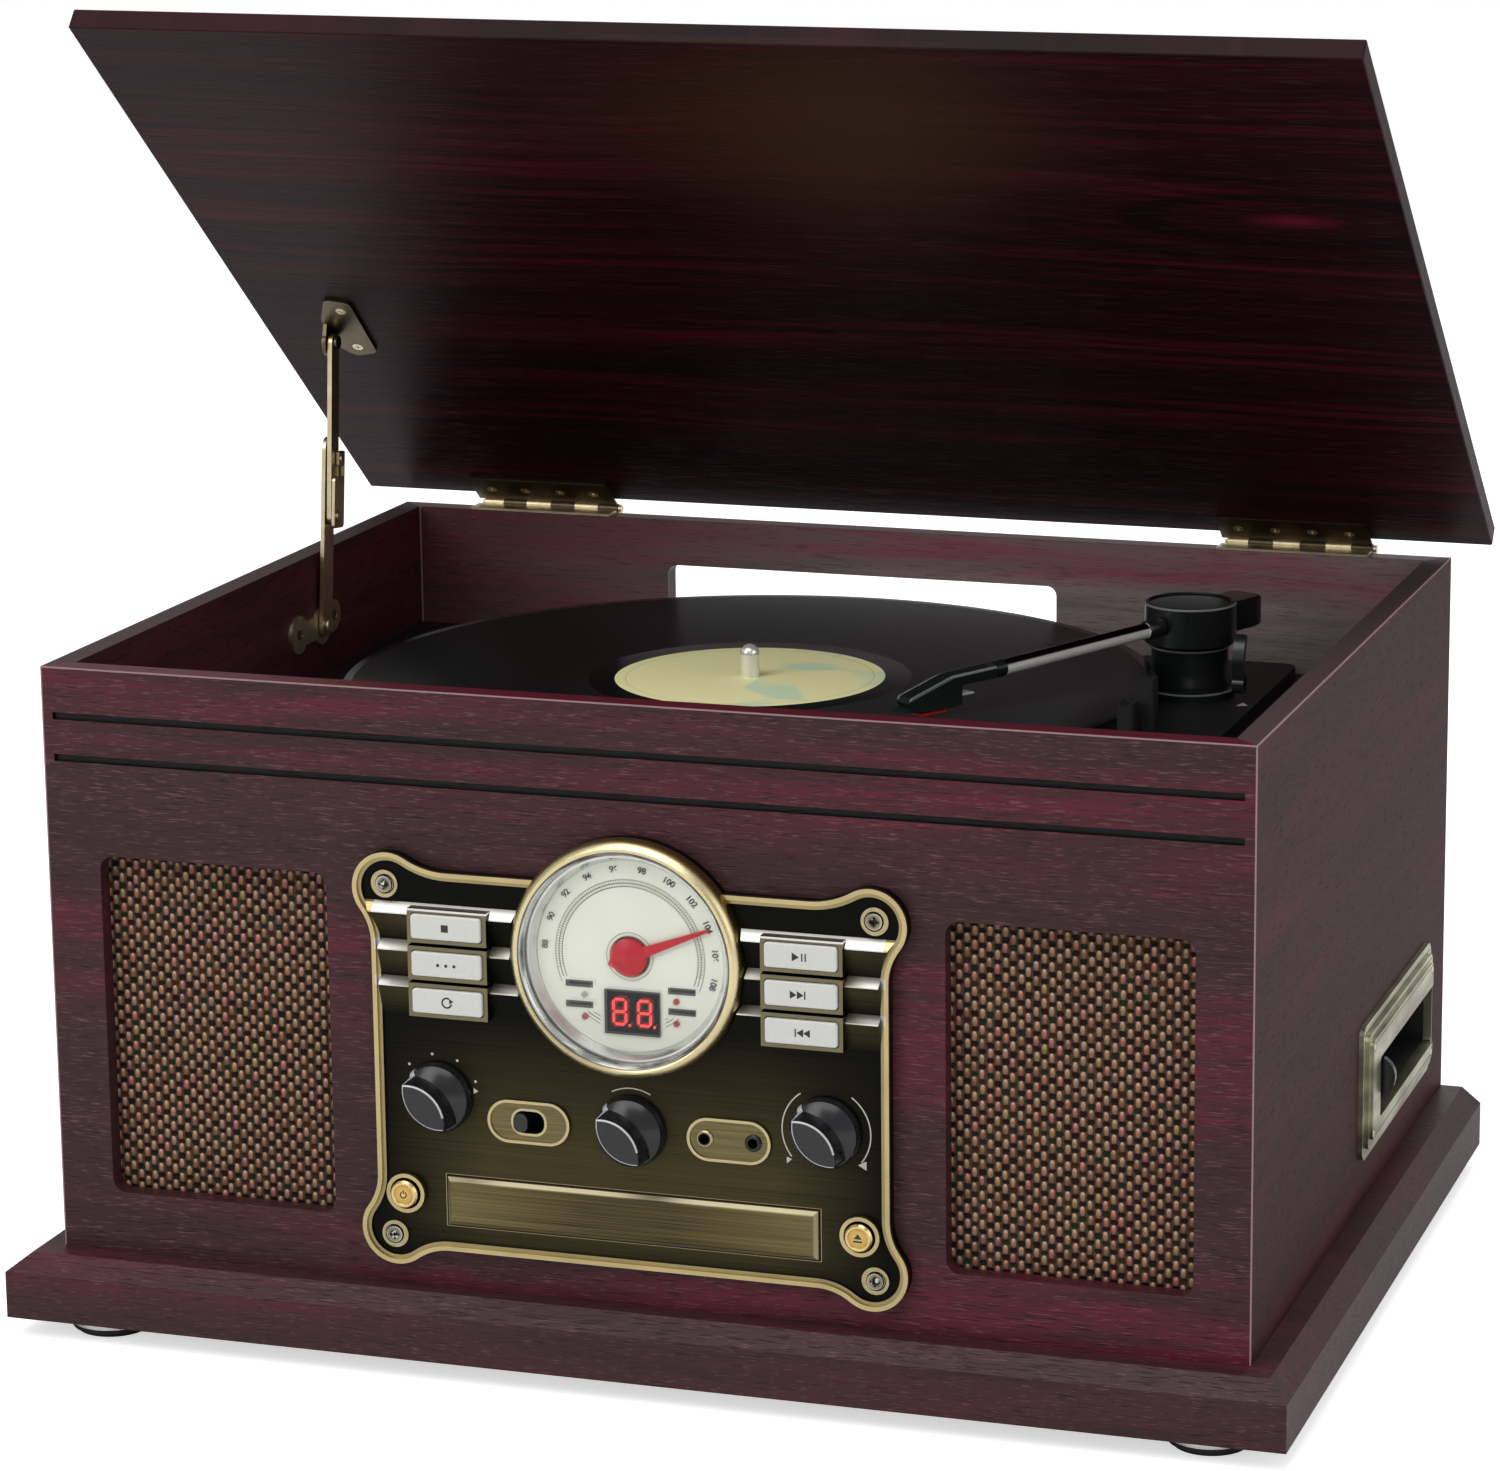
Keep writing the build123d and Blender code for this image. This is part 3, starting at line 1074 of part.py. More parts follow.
with BuildPart() as escutcheons:
    # raised oval plates round the slide switch and the two jacks
    for place, opening in ((SWITCH_PLACE, None), ((36.0, BED + 63.6), JACK_PLACES)):
        with BuildSketch(front_plane(FASCIA_FACE)):
            with Locations(place):
                SlotOverall(30.2, 15.4)
            if opening:
                with Locations(*opening):
                    Circle(3.0, mode=Mode.SUBTRACT)
            else:
                with Locations(place):
                    RectangleRounded(*SWITCH_OPENING, mode=Mode.SUBTRACT)
        extrude(amount=0.7)
        with BuildSketch(front_plane(FASCIA_FACE)):
            with Locations(place):
                SlotOverall(30.2, 15.4)
                SlotOverall(28.2, 13.4, mode=Mode.SUBTRACT)
        extrude(amount=1.3)
save_group([fascia_rim, button_frames, ledge_rows, escutcheons], "fascia_trim")

with BuildPart() as jack_sockets:
    for jack_x, jack_z in JACK_PLACES:
        with BuildSketch(Plane(origin=(jack_x, 0, jack_z), x_dir=(1, 0, 0), z_dir=(0, 0, 1))):
            with BuildLine():
                Polyline((JACK_BORE, FASCIA_FACE - 1.6), (2.6, FASCIA_FACE - 1.6), (3.0, FASCIA_FACE - 1.2),
                         (3.0, FRONT), (4.5, FRONT), (4.5, FRONT + 12), (JACK_BORE, FRONT + 12), close=True)
            make_face()
        revolve(axis=Axis((jack_x, 0, jack_z), (0, 1, 0)))
save(jack_sockets, "jack_sockets")

# ---------------------------------------------------------------- buttons, knobs, slide switch
BUTTON_STAND = 6.4          # ivory caps stand this far out of the plate
STEM_END = FRONT + 11.0


def key(x, z):
    """One ivory key cap with its stem."""
    with BuildPart() as cap:
        with BuildSketch(front_plane(FASCIA_FACE + 2)):
            with Locations((x, z)):
                RectangleRounded(BUTTON_WIDTH, BUTTON_HEIGHT, 1.2)
        extrude(amount=BUTTON_STAND + 2)
        fillet(cap.faces().sort_by(Axis.Y)[0].edges(), radius=0.6)
        with BuildSketch(front_plane(FASCIA_FACE + 2)):
            with Locations((x, z)):
                Circle(1.5)
        extrude(amount=-(STEM_END - FASCIA_FACE - 2))
    return cap


KEY_NAMES = ("button_left_upper", "button_right_upper", "button_left_middle", "button_right_middle",
             "button_left_lower", "button_right_lower")
for key_name, (key_x, key_z) in zip(KEY_NAMES, BUTTON_PLACES):
    save(key(key_x, key_z), key_name)


def round_button(x):
    """Metal cap with a raised edge round its slightly domed top, on a stem."""
    with BuildPart() as cap:
        with BuildSketch(Plane(origin=(x, 0, ROUND_BUTTON_Z), x_dir=(1, 0, 0), z_dir=(0, 0, 1))):
            with BuildLine():
                Polyline((0, STEM_END), (1.5, STEM_END), (1.5, FRONT), (5.0, FRONT), (5.0, FASCIA_FACE - 3.9),
                         (4.4, FASCIA_FACE - 4.6), (3.7, FASCIA_FACE - 4.6), (3.5, FASCIA_FACE - 4.3))
                ThreePointArc((3.5, FASCIA_FACE - 4.3), dome_middle(3.5, FASCIA_FACE - 4.3, FASCIA_FACE - 4.6),
                              (0, FASCIA_FACE - 4.6))
                Line((0, FASCIA_FACE - 4.6), (0, STEM_END))
            make_face()
        revolve(axis=Axis((x, 0, ROUND_BUTTON_Z), (0, 1, 0)))
    return cap


save(round_button(-ROUND_BUTTON_X), "power_button")
save(round_button(ROUND_BUTTON_X), "open_close_button")

KNOB_BACK = FASCIA_FACE - 0.8
KNOB_SKIRT = 4.2
KNOB_STAND = 14.0
GRIP_HALF = 11.4
GRIP_WIDE = 5.9
GRIP_TILT = 135.0           # the grip bar runs from upper left to lower right


def knob(x, z):
    """Skirted knob with a lens-shaped grip bar, on its shaft."""
    with BuildPart() as piece:
        with BuildSketch(Plane(origin=(x, 0, z), x_dir=(1, 0, 0), z_dir=(0, 0, 1))):
            with BuildLine():
                Polyline((0, KNOB_BACK), (KNOB_RADIUS, KNOB_BACK), (KNOB_RADIUS, KNOB_BACK - 1.2),
                         (KNOB_RADIUS - 0.8, KNOB_BACK - KNOB_SKIRT + 1.0))
                ThreePointArc((KNOB_RADIUS - 0.8, KNOB_BACK - KNOB_SKIRT + 1.0),
                              dome_middle(KNOB_RADIUS - 0.8, KNOB_BACK - KNOB_SKIRT + 1.0, KNOB_BACK - KNOB_SKIRT - 3.0),
                              (0, KNOB_BACK - KNOB_SKIRT - 3.0))
                Line((0, KNOB_BACK - KNOB_SKIRT - 3.0), (0, KNOB_BACK))
            make_face()
        revolve(axis=Axis((x, 0, z), (0, 1, 0)))
        grip_plane = Plane(origin=(x, KNOB_BACK - 3.0, z),
                           x_dir=(math.cos(math.radians(GRIP_TILT)), 0, math.sin(math.radians(GRIP_TILT))),
                           z_dir=(0, -1, 0))
        with BuildSketch(grip_plane):
            with BuildLine():
                ThreePointArc((-GRIP_HALF, 0), (0, GRIP_WIDE), (GRIP_HALF, 0))
                ThreePointArc((GRIP_HALF, 0), (0, -GRIP_WIDE), (-GRIP_HALF, 0))
            make_face()
        extrude(amount=KNOB_STAND - 3.0, taper=3)
        fillet(piece.faces().sort_by(Axis.Y)[0].edges(), radius=0.7)
        with BuildSketch(front_plane(KNOB_BACK)):
            with Locations((x, z)):
                Circle(SHAFT_RADIUS)
        extrude(amount=-(FRONT + 12.0 - KNOB_BACK))
    return piece


for knob_name, (knob_x, knob_z) in KNOBS.items():
    save(knob(knob_x, knob_z), f"{knob_name}_knob")

with BuildPart() as function_switch:
    # thumb piece in its slot, standing at the left end of its travel
    with BuildSketch(front_plane(FRONT + 11.8)):
        with Locations((SWITCH_PLACE[0] - 2.6, SWITCH_PLACE[1])):
            RectangleRounded(5.2, 6.6, 2.4)
    extrude(amount=17.0)
save(function_switch, "function_switch")

# ---------------------------------------------------------------- dial
dial_axis = Axis((DIAL_X, 0, DIAL_Z), (0, 1, 0))
dial_section = Plane(origin=(DIAL_X, 0, DIAL_Z), x_dir=(1, 0, 0), z_dir=(0, 0, 1))
DIAL_FRONT = FRONT - 2.4        # printed face
BEZEL_CREST = FASCIA_FACE - 7.0

with BuildPart() as dial_bezel:
    with BuildSketch(dial_section):
        with BuildLine():
            Line((BEZEL_RADIUS, FASCIA_FACE), (BEZEL_RADIUS, FASCIA_FACE - 2.0))
            ThreePointArc((BEZEL_RADIUS, FASCIA_FACE - 2.0), (41.2, FASCIA_FACE - 5.4), (39.5, BEZEL_CREST))
            ThreePointArc((39.5, BEZEL_CREST), (37.4, BEZEL_CREST + 1.0), (36.5, BEZEL_CREST + 3.2))
            Polyline((36.5, BEZEL_CREST + 3.2), (36.5, FASCIA_FACE), (BEZEL_RADIUS, FASCIA_FACE))
        make_face()
    revolve(axis=dial_axis)
save(dial_bezel, "dial_bezel")

with BuildPart() as dial_cup:
    # bright inner ring that slopes in to the face, and the cup behind it
    with BuildSketch(dial_section):
        with BuildLine():
            Polyline((36.4, FASCIA_FACE - 3.0), (36.4, FASCIA_FACE), (36.0, FASCIA_FACE), (36.0, FRONT + 3.0),
                     (0, FRONT + 3.0), (0, DIAL_FRONT + 1.0), (33.8, DIAL_FRONT + 1.0), (33.8, DIAL_FRONT - 0.6),
                     (35.6, FASCIA_FACE - 3.0), close=True)
        make_face()
    revolve(axis=dial_axis)
    with BuildSketch(front_plane(FRONT + 4)):
        with Locations((DIAL_X, DIAL_Z)):
            Circle(1.3)
    extrude(amount=12, mode=Mode.SUBTRACT)

with BuildPart() as dial_face:
    with BuildSketch(front_plane(DIAL_FRONT + 1.0)):
        with Locations((DIAL_X, DIAL_Z)):
            Circle(33.7)
            Circle(1.3, mode=Mode.SUBTRACT)
    extrude(amount=1.0)

DISPLAY_PLACE = (DIAL_X + 0.7, BED + 105.8)
LAMP_PLACES = [(DIAL_X + x, BED + z) for z in (111.0, 103.2) for x in (-16.6, 16.6)]
with BuildPart() as display:
    # dark window for the two digits, and four indicator lamps beside it
    with BuildSketch(front_plane(DIAL_FRONT)):
        with Locations(DISPLAY_PLACE):
            Rectangle(20, 15.6)
    extrude(amount=0.8)
    with BuildSketch(front_plane(DIAL_FRONT)):
        with Locations(*LAMP_PLACES):
            Circle(1.1)
    extrude(amount=0.6)
save_group([dial_cup, dial_face, display], "dial_face")

with BuildPart() as dial_glass:
    with BuildSketch(dial_section):
        with BuildLine():
            Line((36.3, BEZEL_CREST + 3.4), (36.3, BEZEL_CREST + 2.4))
            ThreePointArc((36.3, BEZEL_CREST + 2.4), dome_middle(36.3, BEZEL_CREST + 2.4, BEZEL_CREST - 0.3),
                          (0, BEZEL_CREST - 0.3))
            Line((0, BEZEL_CREST - 0.3), (0, BEZEL_CREST + 0.7))
            ThreePointArc((0, BEZEL_CREST + 0.7), dome_middle(36.3, BEZEL_CREST + 3.4, BEZEL_CREST + 0.7),
                          (36.3, BEZEL_CREST + 3.4))
        make_face()
    revolve(axis=dial_axis)
save(dial_glass, "dial_glass")

NEEDLE_ANGLE = 22.0
NEEDLE_TIP = 31.6
HUB_EDGE = 6.6
needle_plane = Plane(origin=(DIAL_X, DIAL_FRONT - 0.9, DIAL_Z),
                     x_dir=(math.cos(math.radians(NEEDLE_ANGLE)), 0, math.sin(math.radians(NEEDLE_ANGLE))),
                     z_dir=(0, -1, 0))
with BuildPart() as dial_pointer:
    with BuildSketch(needle_plane):
        with BuildLine():
            Polyline((-8.2, 0), (-5.0, -3.4), (5.5, -1.9), (NEEDLE_TIP - 0.7, -0.5), (NEEDLE_TIP, 0),
                     (NEEDLE_TIP - 0.7, 0.5), (5.5, 1.9), (-5.0, 3.4), close=True)
        make_face()
    extrude(amount=0.7)
    with BuildSketch(dial_section):
        with BuildLine():
            Polyline((0, FRONT + 8.0), (1.2, FRONT + 8.0), (1.2, DIAL_FRONT - 0.5), (HUB_EDGE, DIAL_FRONT - 0.5),
                     (HUB_EDGE, DIAL_FRONT - 1.6))
            ThreePointArc((HUB_EDGE, DIAL_FRONT - 1.6), dome_middle(HUB_EDGE, DIAL_FRONT - 1.6, DIAL_FRONT - 3.0),
                          (0, DIAL_FRONT - 3.0))
            Line((0, DIAL_FRONT - 3.0), (0, FRONT + 8.0))
        make_face()
    revolve(axis=dial_axis)
save(dial_pointer, "dial_pointer")

# ---------------------------------------------------------------- disc drawer
TRAY_HALF = 62.0
TRAY_Z = (BED + 27.5, BED + 33.5)
TRAY_LENGTH = 140.0
with BuildPart() as drawer_front:
    with BuildSketch(front_plane(FRONT - 0.5)):
        with Locations((0, middle(DRAWER_Z))):
            Rectangle(2 * DRAWER_HALF, span(DRAWER_Z))
    extrude(amount=4.8)
    chamfer(drawer_front.faces().sort_by(Axis.Y)[0].edges(), length=1.6)
save(drawer_front, "drawer_front")

with BuildPart() as disc_tray:
    with BuildSketch(Plane.XY.offset(TRAY_Z[0])):
        with Locations((0, FRONT - 0.5 + TRAY_LENGTH / 2)):
            Rectangle(2 * TRAY_HALF, TRAY_LENGTH)
    extrude(amount=span(TRAY_Z))
    # recess for a 12 cm disc with the smaller 8 cm step, and the gap for the drive spindle
    with BuildSketch(Plane.XY.offset(TRAY_Z[1])):
        with Locations((0, FRONT + 68.0)):
            Circle(60.5)
    extrude(amount=-2.0, mode=Mode.SUBTRACT)
    with BuildSketch(Plane.XY.offset(TRAY_Z[1])):
        with Locations((0, FRONT + 68.0)):
            Circle(40.5)
    extrude(amount=-3.5, mode=Mode.SUBTRACT)
    with BuildSketch(Plane.XY.offset(TRAY_Z[1])):
        with Locations((0, FRONT + 84.0)):
            SlotOverall(72, 34, rotation=90)
    extrude(amount=-span(TRAY_Z), mode=Mode.SUBTRACT)
save(disc_tray, "disc_tray")

with BuildPart() as disc_mechanism:
    # open-fronted loader frame on four legs
    with Locations((0, FRONT + 92, BED + 33.5)):
        Box(2 * TRAY_HALF + 12, 160, 27)
    with Locations((0, FRONT + 84, BED + 34.5)):
        Box(2 * TRAY_HALF + 2, 164, 19, mode=Mode.SUBTRACT)
    with BuildSketch(Plane.XY.offset(BED + BOARD)):
        with Locations((0, FRONT + 92)):
            with GridLocations(110, 130, 2, 2):
                Circle(5)
    extrude(amount=20 - BOARD)
save(disc_mechanism, "disc_mechanism")

# ---------------------------------------------------------------- cassette player in the right side
WELL_X = (HALF_WIDTH - 76.0, HALF_WIDTH - 0.1)
WELL_WALL = 1.3
LEVER_PLACE_Y = FRONT + 193.0
LEVER_THICKNESS = 3.0
LEVER_HEIGHTS = (BED + 38.0, BED + 50.5)
with BuildPart() as cassette_frame:
    with BuildSketch(side_plane(HALF_WIDTH)):
        with Locations((middle(CASSETTE_FRAME_Y), middle(CASSETTE_FRAME_Z))):
            RectangleRounded(span(CASSETTE_FRAME_Y), span(CASSETTE_FRAME_Z), 5)
    extrude(amount=1.8)
    with BuildSketch(side_plane(HALF_WIDTH)):
        with Locations((middle(CASSETTE_FRAME_Y), middle(CASSETTE_FRAME_Z))):
            RectangleRounded(span(CASSETTE_FRAME_Y) - 7, span(CASSETTE_FRAME_Z) - 7, 4)
    extrude(amount=3.2)
    with BuildSketch(side_plane(HALF_WIDTH)):
        with Locations((middle(CASSETTE_FRAME_Y), middle(CASSETTE_FRAME_Z))):
            RectangleRounded(span(CASSETTE_FRAME_Y) - 13, span(CASSETTE_FRAME_Z) - 13, 3)
    extrude(amount=4.2)
    with BuildSketch(side_plane(HALF_WIDTH)):
        with Locations((middle(CASSETTE_SLOT_Y), middle(CASSETTE_SLOT_Z))):
            RectangleRounded(span(CASSETTE_SLOT_Y), span(CASSETTE_SLOT_Z), 2)
    extrude(amount=6, mode=Mode.SUBTRACT)
save(cassette_frame, "cassette_frame")

with BuildPart() as cassette_mechanism:
    # well that takes the cassette sideways, through the board's opening
    with Locations((middle(WELL_X), middle(CASSETTE_SLOT_Y), middle(CASSETTE_SLOT_Z))):
        Box(span(WELL_X), span(CASSETTE_SLOT_Y) + 2 * WELL_WALL, span(CASSETTE_SLOT_Z) + 2 * WELL_WALL)
        with Locations((WELL_WALL, 0, 0)):
            Box(span(WELL_X), span(CASSETTE_SLOT_Y), span(CASSETTE_SLOT_Z), mode=Mode.SUBTRACT)
    # two reel spindles stand up from the well's floor
    with BuildSketch(Plane.XY.offset(CASSETTE_SLOT_Z[0] - WELL_WALL)):
        with Locations((HALF_WIDTH - 40, middle(CASSETTE_SLOT_Y) - 21.25),
                       (HALF_WIDTH - 40, middle(CASSETTE_SLOT_Y) + 21.25)):
            Circle(3.6)
    extrude(amount=7.0)
    # sleeve that guides the lever
    with Locations((HALF_WIDTH - 17, LEVER_PLACE_Y - 0.2, middle(LEVER_HEIGHTS))):
        Box(20, 2 * (LEVER_PLACE_Y - 0.2 - CASSETTE_SLOT_Y[0]), span(LEVER_HEIGHTS) + 4)
    with Locations((HALF_WIDTH - 17, LEVER_PLACE_Y, middle(LEVER_HEIGHTS))):
        Box(24, LEVER_THICKNESS + 0.6, span(LEVER_HEIGHTS) + 0.6, mode=Mode.SUBTRACT)
    # four legs down to the floor of the cabinet
    with BuildSketch(Plane.XY.offset(BED + BOARD)):
        with Locations((middle(WELL_X), middle(CASSETTE_SLOT_Y))):
            with GridLocations(44, 84, 2, 2):
                Circle(4)
    extrude(amount=CASSETTE_SLOT_Z[0] - WELL_WALL - BED - BOARD)
save(cassette_mechanism, "cassette_mechanism")

with BuildPart() as cassette_lever:
    # hooked finger lever that is pushed in to wind and to eject
    with BuildSketch(Plane(origin=(0, LEVER_PLACE_Y, 0), x_dir=(1, 0, 0), z_dir=(0, -1, 0))):
        with BuildLine():
            lever_low, lever_high = LEVER_HEIGHTS
            Polyline((HALF_WIDTH - 22, lever_low), (HALF_WIDTH + 2, lever_low))
            ThreePointArc((HALF_WIDTH + 2, lever_low), (HALF_WIDTH + 6.5, lever_low + 0.6),
                          (HALF_WIDTH + 8.4, lever_low + 4))
            ThreePointArc((HALF_WIDTH + 8.4, lever_low + 4), (HALF_WIDTH + 8.0, lever_high - 2.5),
                          (HALF_WIDTH + 4.5, lever_high + 1))
            Polyline((HALF_WIDTH + 4.5, lever_high + 1), (HALF_WIDTH + 2, lever_high), (HALF_WIDTH - 22, lever_high),
                     (HALF_WIDTH - 22, lever_low))
        make_face()
    extrude(amount=LEVER_THICKNESS / 2, both=True)
save(cassette_lever, "cassette_lever")

# ---------------------------------------------------------------- loudspeakers
with BuildPart() as speaker_cloths:
    with BuildSketch(front_plane(FRONT + CLOTH_RECESS)):
        with Locations((-middle(SPEAKER_X), middle(SPEAKER_Z)), (middle(SPEAKER_X), middle(SPEAKER_Z))):
            Rectangle(span(SPEAKER_X) + 7.6, span(SPEAKER_Z) + 7.6)
    extrude(amount=-(BOARD - CLOTH_RECESS))
save(speaker_cloths, "speaker_cloths")

with BuildPart() as speaker_baffles:
    with BuildSketch(front_plane(FRONT + BOARD)):
        for side in (-1, 1):
            with Locations((side * middle(SPEAKER_X), middle(SPEAKER_Z))):
                Rectangle(span(SPEAKER_X) + 16, span(SPEAKER_Z) + 16)
                Circle(34, mode=Mode.SUBTRACT)
    extrude(amount=-6)

with BuildPart() as speaker_drivers:
    for side in (-1, 1):
        driver_axis = Axis((side * middle(SPEAKER_X), 0, middle(SPEAKER_Z)), (0, 1, 0))
        driver_back = FRONT + BOARD + 6
        with BuildSketch(Plane(origin=driver_axis.position, x_dir=(1, 0, 0), z_dir=(0, 0, 1))):
            with BuildLine():
                Polyline((0, driver_back + 6), (12, driver_back + 10), (32, driver_back), (38, driver_back),
                         (38, driver_back + 1.6), (33, driver_back + 1.6), (20, driver_back + 18),
                         (20, driver_back + 32), (0, driver_back + 32), close=True)
            make_face()
        revolve(axis=driver_axis)
save_group([speaker_baffles, speaker_drivers], "speaker_drivers")

# ---------------------------------------------------------------- electronics
with BuildPart() as control_board:
    with BuildSketch(front_plane(FRONT + 14)):
        with Locations((0, BED + 98)):
            Rectangle(160, 98)
        # legs beside the disc mechanism, behind the round buttons
        with Locations((-82, BED + 40), (82, BED + 40)):
            Rectangle(18, 26)
    extrude(amount=-1.6)
    # a push switch behind every button, and the slide switch's body
    with BuildSketch(front_plane(FRONT + 12.2)):
        with Locations(SWITCH_PLACE):
            Rectangle(16, 9)
        with Locations(*BUTTON_PLACES, (-ROUND_BUTTON_X, ROUND_BUTTON_Z), (ROUND_BUTTON_X, ROUND_BUTTON_Z)):
            Rectangle(6, 6)
    extrude(amount=-1.8)
    # control bodies behind each knob, with the bore for its shaft
    for knob_x, knob_z in KNOBS.values():
        with BuildSketch(front_plane(FRONT + 10.5)):
            with Locations((knob_x, knob_z)):
                Circle(7.5)
                Circle(SHAFT_RADIUS + 0.06, mode=Mode.SUBTRACT)
        extrude(amount=-3.5)

MAIN_BOARD = (-90.0, FRONT + 235.0)
with BuildPart() as main_board:
    with BuildSketch(Plane.XY.offset(BED + BOARD + 8)):
        with Locations(MAIN_BOARD):
            Rectangle(120, 90)
    extrude(amount=1.6)
    with BuildSketch(Plane.XY.offset(BED + BOARD)):
        with Locations(MAIN_BOARD):
            with GridLocations(108, 78, 2, 2):
                Circle(3)
    extrude(amount=8)
    # finned heat sink and two reservoir capacitors
    with BuildSketch(Plane.XY.offset(BED + BOARD + 9.6)):
        with Locations((MAIN_BOARD[0] + 40, MAIN_BOARD[1] + 30)):
            Rectangle(34, 3)
            with GridLocations(5.5, 0, 6, 1):
                with Locations((0, 5)):
                    Rectangle(1.5, 8)
    extrude(amount=26)
    with BuildSketch(Plane.XY.offset(BED + BOARD + 9.6)):
        with Locations((MAIN_BOARD[0] - 30, MAIN_BOARD[1] + 20), (MAIN_BOARD[0] - 10, MAIN_BOARD[1] + 20)):
            Circle(8)
    extrude(amount=24)

with BuildPart() as power_transformer:
    with Locations((40, FRONT + 250, BED + BOARD + 20)):
        Box(52, 30, 40)
        Box(30, 46, 28)
    with Locations((40, FRONT + 250, BED + BOARD + 1)):
        Box(72, 30, 2)
save_group([control_board, main_board, power_transformer], "circuit_boards")

# ---------------------------------------------------------------- rear socket plate
SOCKET_Z = BED + 45
SOCKET_LENGTH = 12.0
LINE_OUTS = ((-166, SOCKET_Z), (-148, SOCKET_Z))
INLET = (-128, SOCKET_Z)
with BuildPart() as socket_plate:
    with BuildSketch(back_plane(BACK)):
        with Locations((-150, SOCKET_Z)):
            RectangleRounded(74, 34, 3)
    extrude(amount=1.5)
    with BuildSketch(back_plane(BACK)):
        with Locations((-150, SOCKET_Z)):
            RectangleRounded(62, 22, 2)
    extrude(amount=-SOCKET_LENGTH)
    with BuildSketch(back_plane(BACK + 1.5)):
        with Locations(*LINE_OUTS):
            Circle(4.2)
        with Locations(INLET):
            Circle(4.8)
    extrude(amount=-SOCKET_LENGTH - 1.5, mode=Mode.SUBTRACT)


def socket(place, outer, bore, proud, depth):
    """Blind round socket in the plate, its mouth proud of the cabinet's back face."""
    with BuildPart() as barrel:
        with BuildSketch(back_plane(BACK + proud)):
            with Locations(place):
                Circle(outer)
        extrude(amount=-SOCKET_LENGTH - proud)
        with BuildSketch(back_plane(BACK + proud)):
            with Locations(place):
                Circle(bore)
        extrude(amount=-depth, mode=Mode.SUBTRACT)
    return barrel


line_outs = [socket(place, 4.15, 1.6, 3.9, 12.9) for place in LINE_OUTS]
supply_inlet = socket(INLET, 4.75, 2.75, 1.5, 10.5)
save_group([socket_plate, *line_outs, supply_inlet], "rear_sockets")


# ---------------------------------------------------------------- screws
def wood_screw(seat, length=7.0, head=2.1):
    """Countersunk screw with a cross recess: the seat plane lies on the head's top, its normal outwards."""
    with BuildPart() as screw:
        with BuildSketch(seat):
            Circle(head)
        extrude(amount=-(head - 1.0), taper=45)
        with BuildSketch(seat):
            Circle(1.0)
        extrude(amount=-length)
        with BuildSketch(seat):
            Rectangle(2.6, 0.55)
            Rectangle(0.55, 2.6)
        extrude(amount=-0.6, mode=Mode.SUBTRACT)
    return screw


lid_screws = []
for start in HINGE_STARTS:
    for screw_x in LID_SCREW_X:
        place = lid_plane.from_local_coords(Vector(start + HINGE_LENGTH / 2 + screw_x, LEAF_SCREW, -LID_OFFSET + LEAF))
        lid_screws.append(wood_screw(Plane(origin=place, z_dir=lid_plane.z_dir)))
for screw_x, screw_y in LID_BRACKET_SCREWS:
    place = lid_plane.from_local_coords(Vector(screw_x, screw_y, -LID_OFFSET + LID_BRACKET))
    lid_screws.append(wood_screw(Plane(origin=place, z_dir=lid_plane.z_dir)))
save_group(lid_screws, "lid_screws")

cabinet_screws = []
for start in HINGE_STARTS:
    for screw_x in CABINET_SCREW_X:
        place = (start + HINGE_LENGTH / 2 + screw_x, PIN_Y - CABINET_LEAF_SCREW, RIM + LEAF)
        cabinet_screws.append(wood_screw(Plane(origin=place, z_dir=(0, 0, 1))))
for screw_y, screw_z in ((STAY_FOOT[0] - 22, STAY_FOOT[1] + 0.5), (STAY_FOOT[0] + 11, STAY_FOOT[1] + 2)):
    cabinet_screws.append(wood_screw(Plane(origin=(STAY_WALL + BRACKET, screw_y, screw_z), z_dir=(1, 0, 0))))

with BuildPart() as fascia_screws:
    for screw_x, screw_z in SCREW_PLACES:
        with BuildSketch(front_plane(FASCIA_FACE)):
            with Locations((screw_x, screw_z)):
                Circle(4.9)
                Circle(3.2, mode=Mode.SUBTRACT)
        extrude(amount=0.8)
        with BuildSketch(front_plane(FASCIA_FACE)):
            with Locations((screw_x, screw_z)):
                Circle(2.9)
        extrude(amount=1.4)
        with BuildSketch(front_plane(FASCIA_FACE - 1.4)):
            with Locations((screw_x, screw_z)):
                Rectangle(3.8, 0.9)
                Rectangle(0.9, 3.8)
        extrude(amount=-0.9, mode=Mode.SUBTRACT)
        with BuildSketch(front_plane(FASCIA_FACE)):
            with Locations((screw_x, screw_z)):
                Circle(1.5)
        extrude(amount=-9)
save_group(cabinet_screws + [fascia_screws], "cabinet_screws")
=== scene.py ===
import json
import math

import bpy
import numpy as np
from mathutils import Matrix, Vector

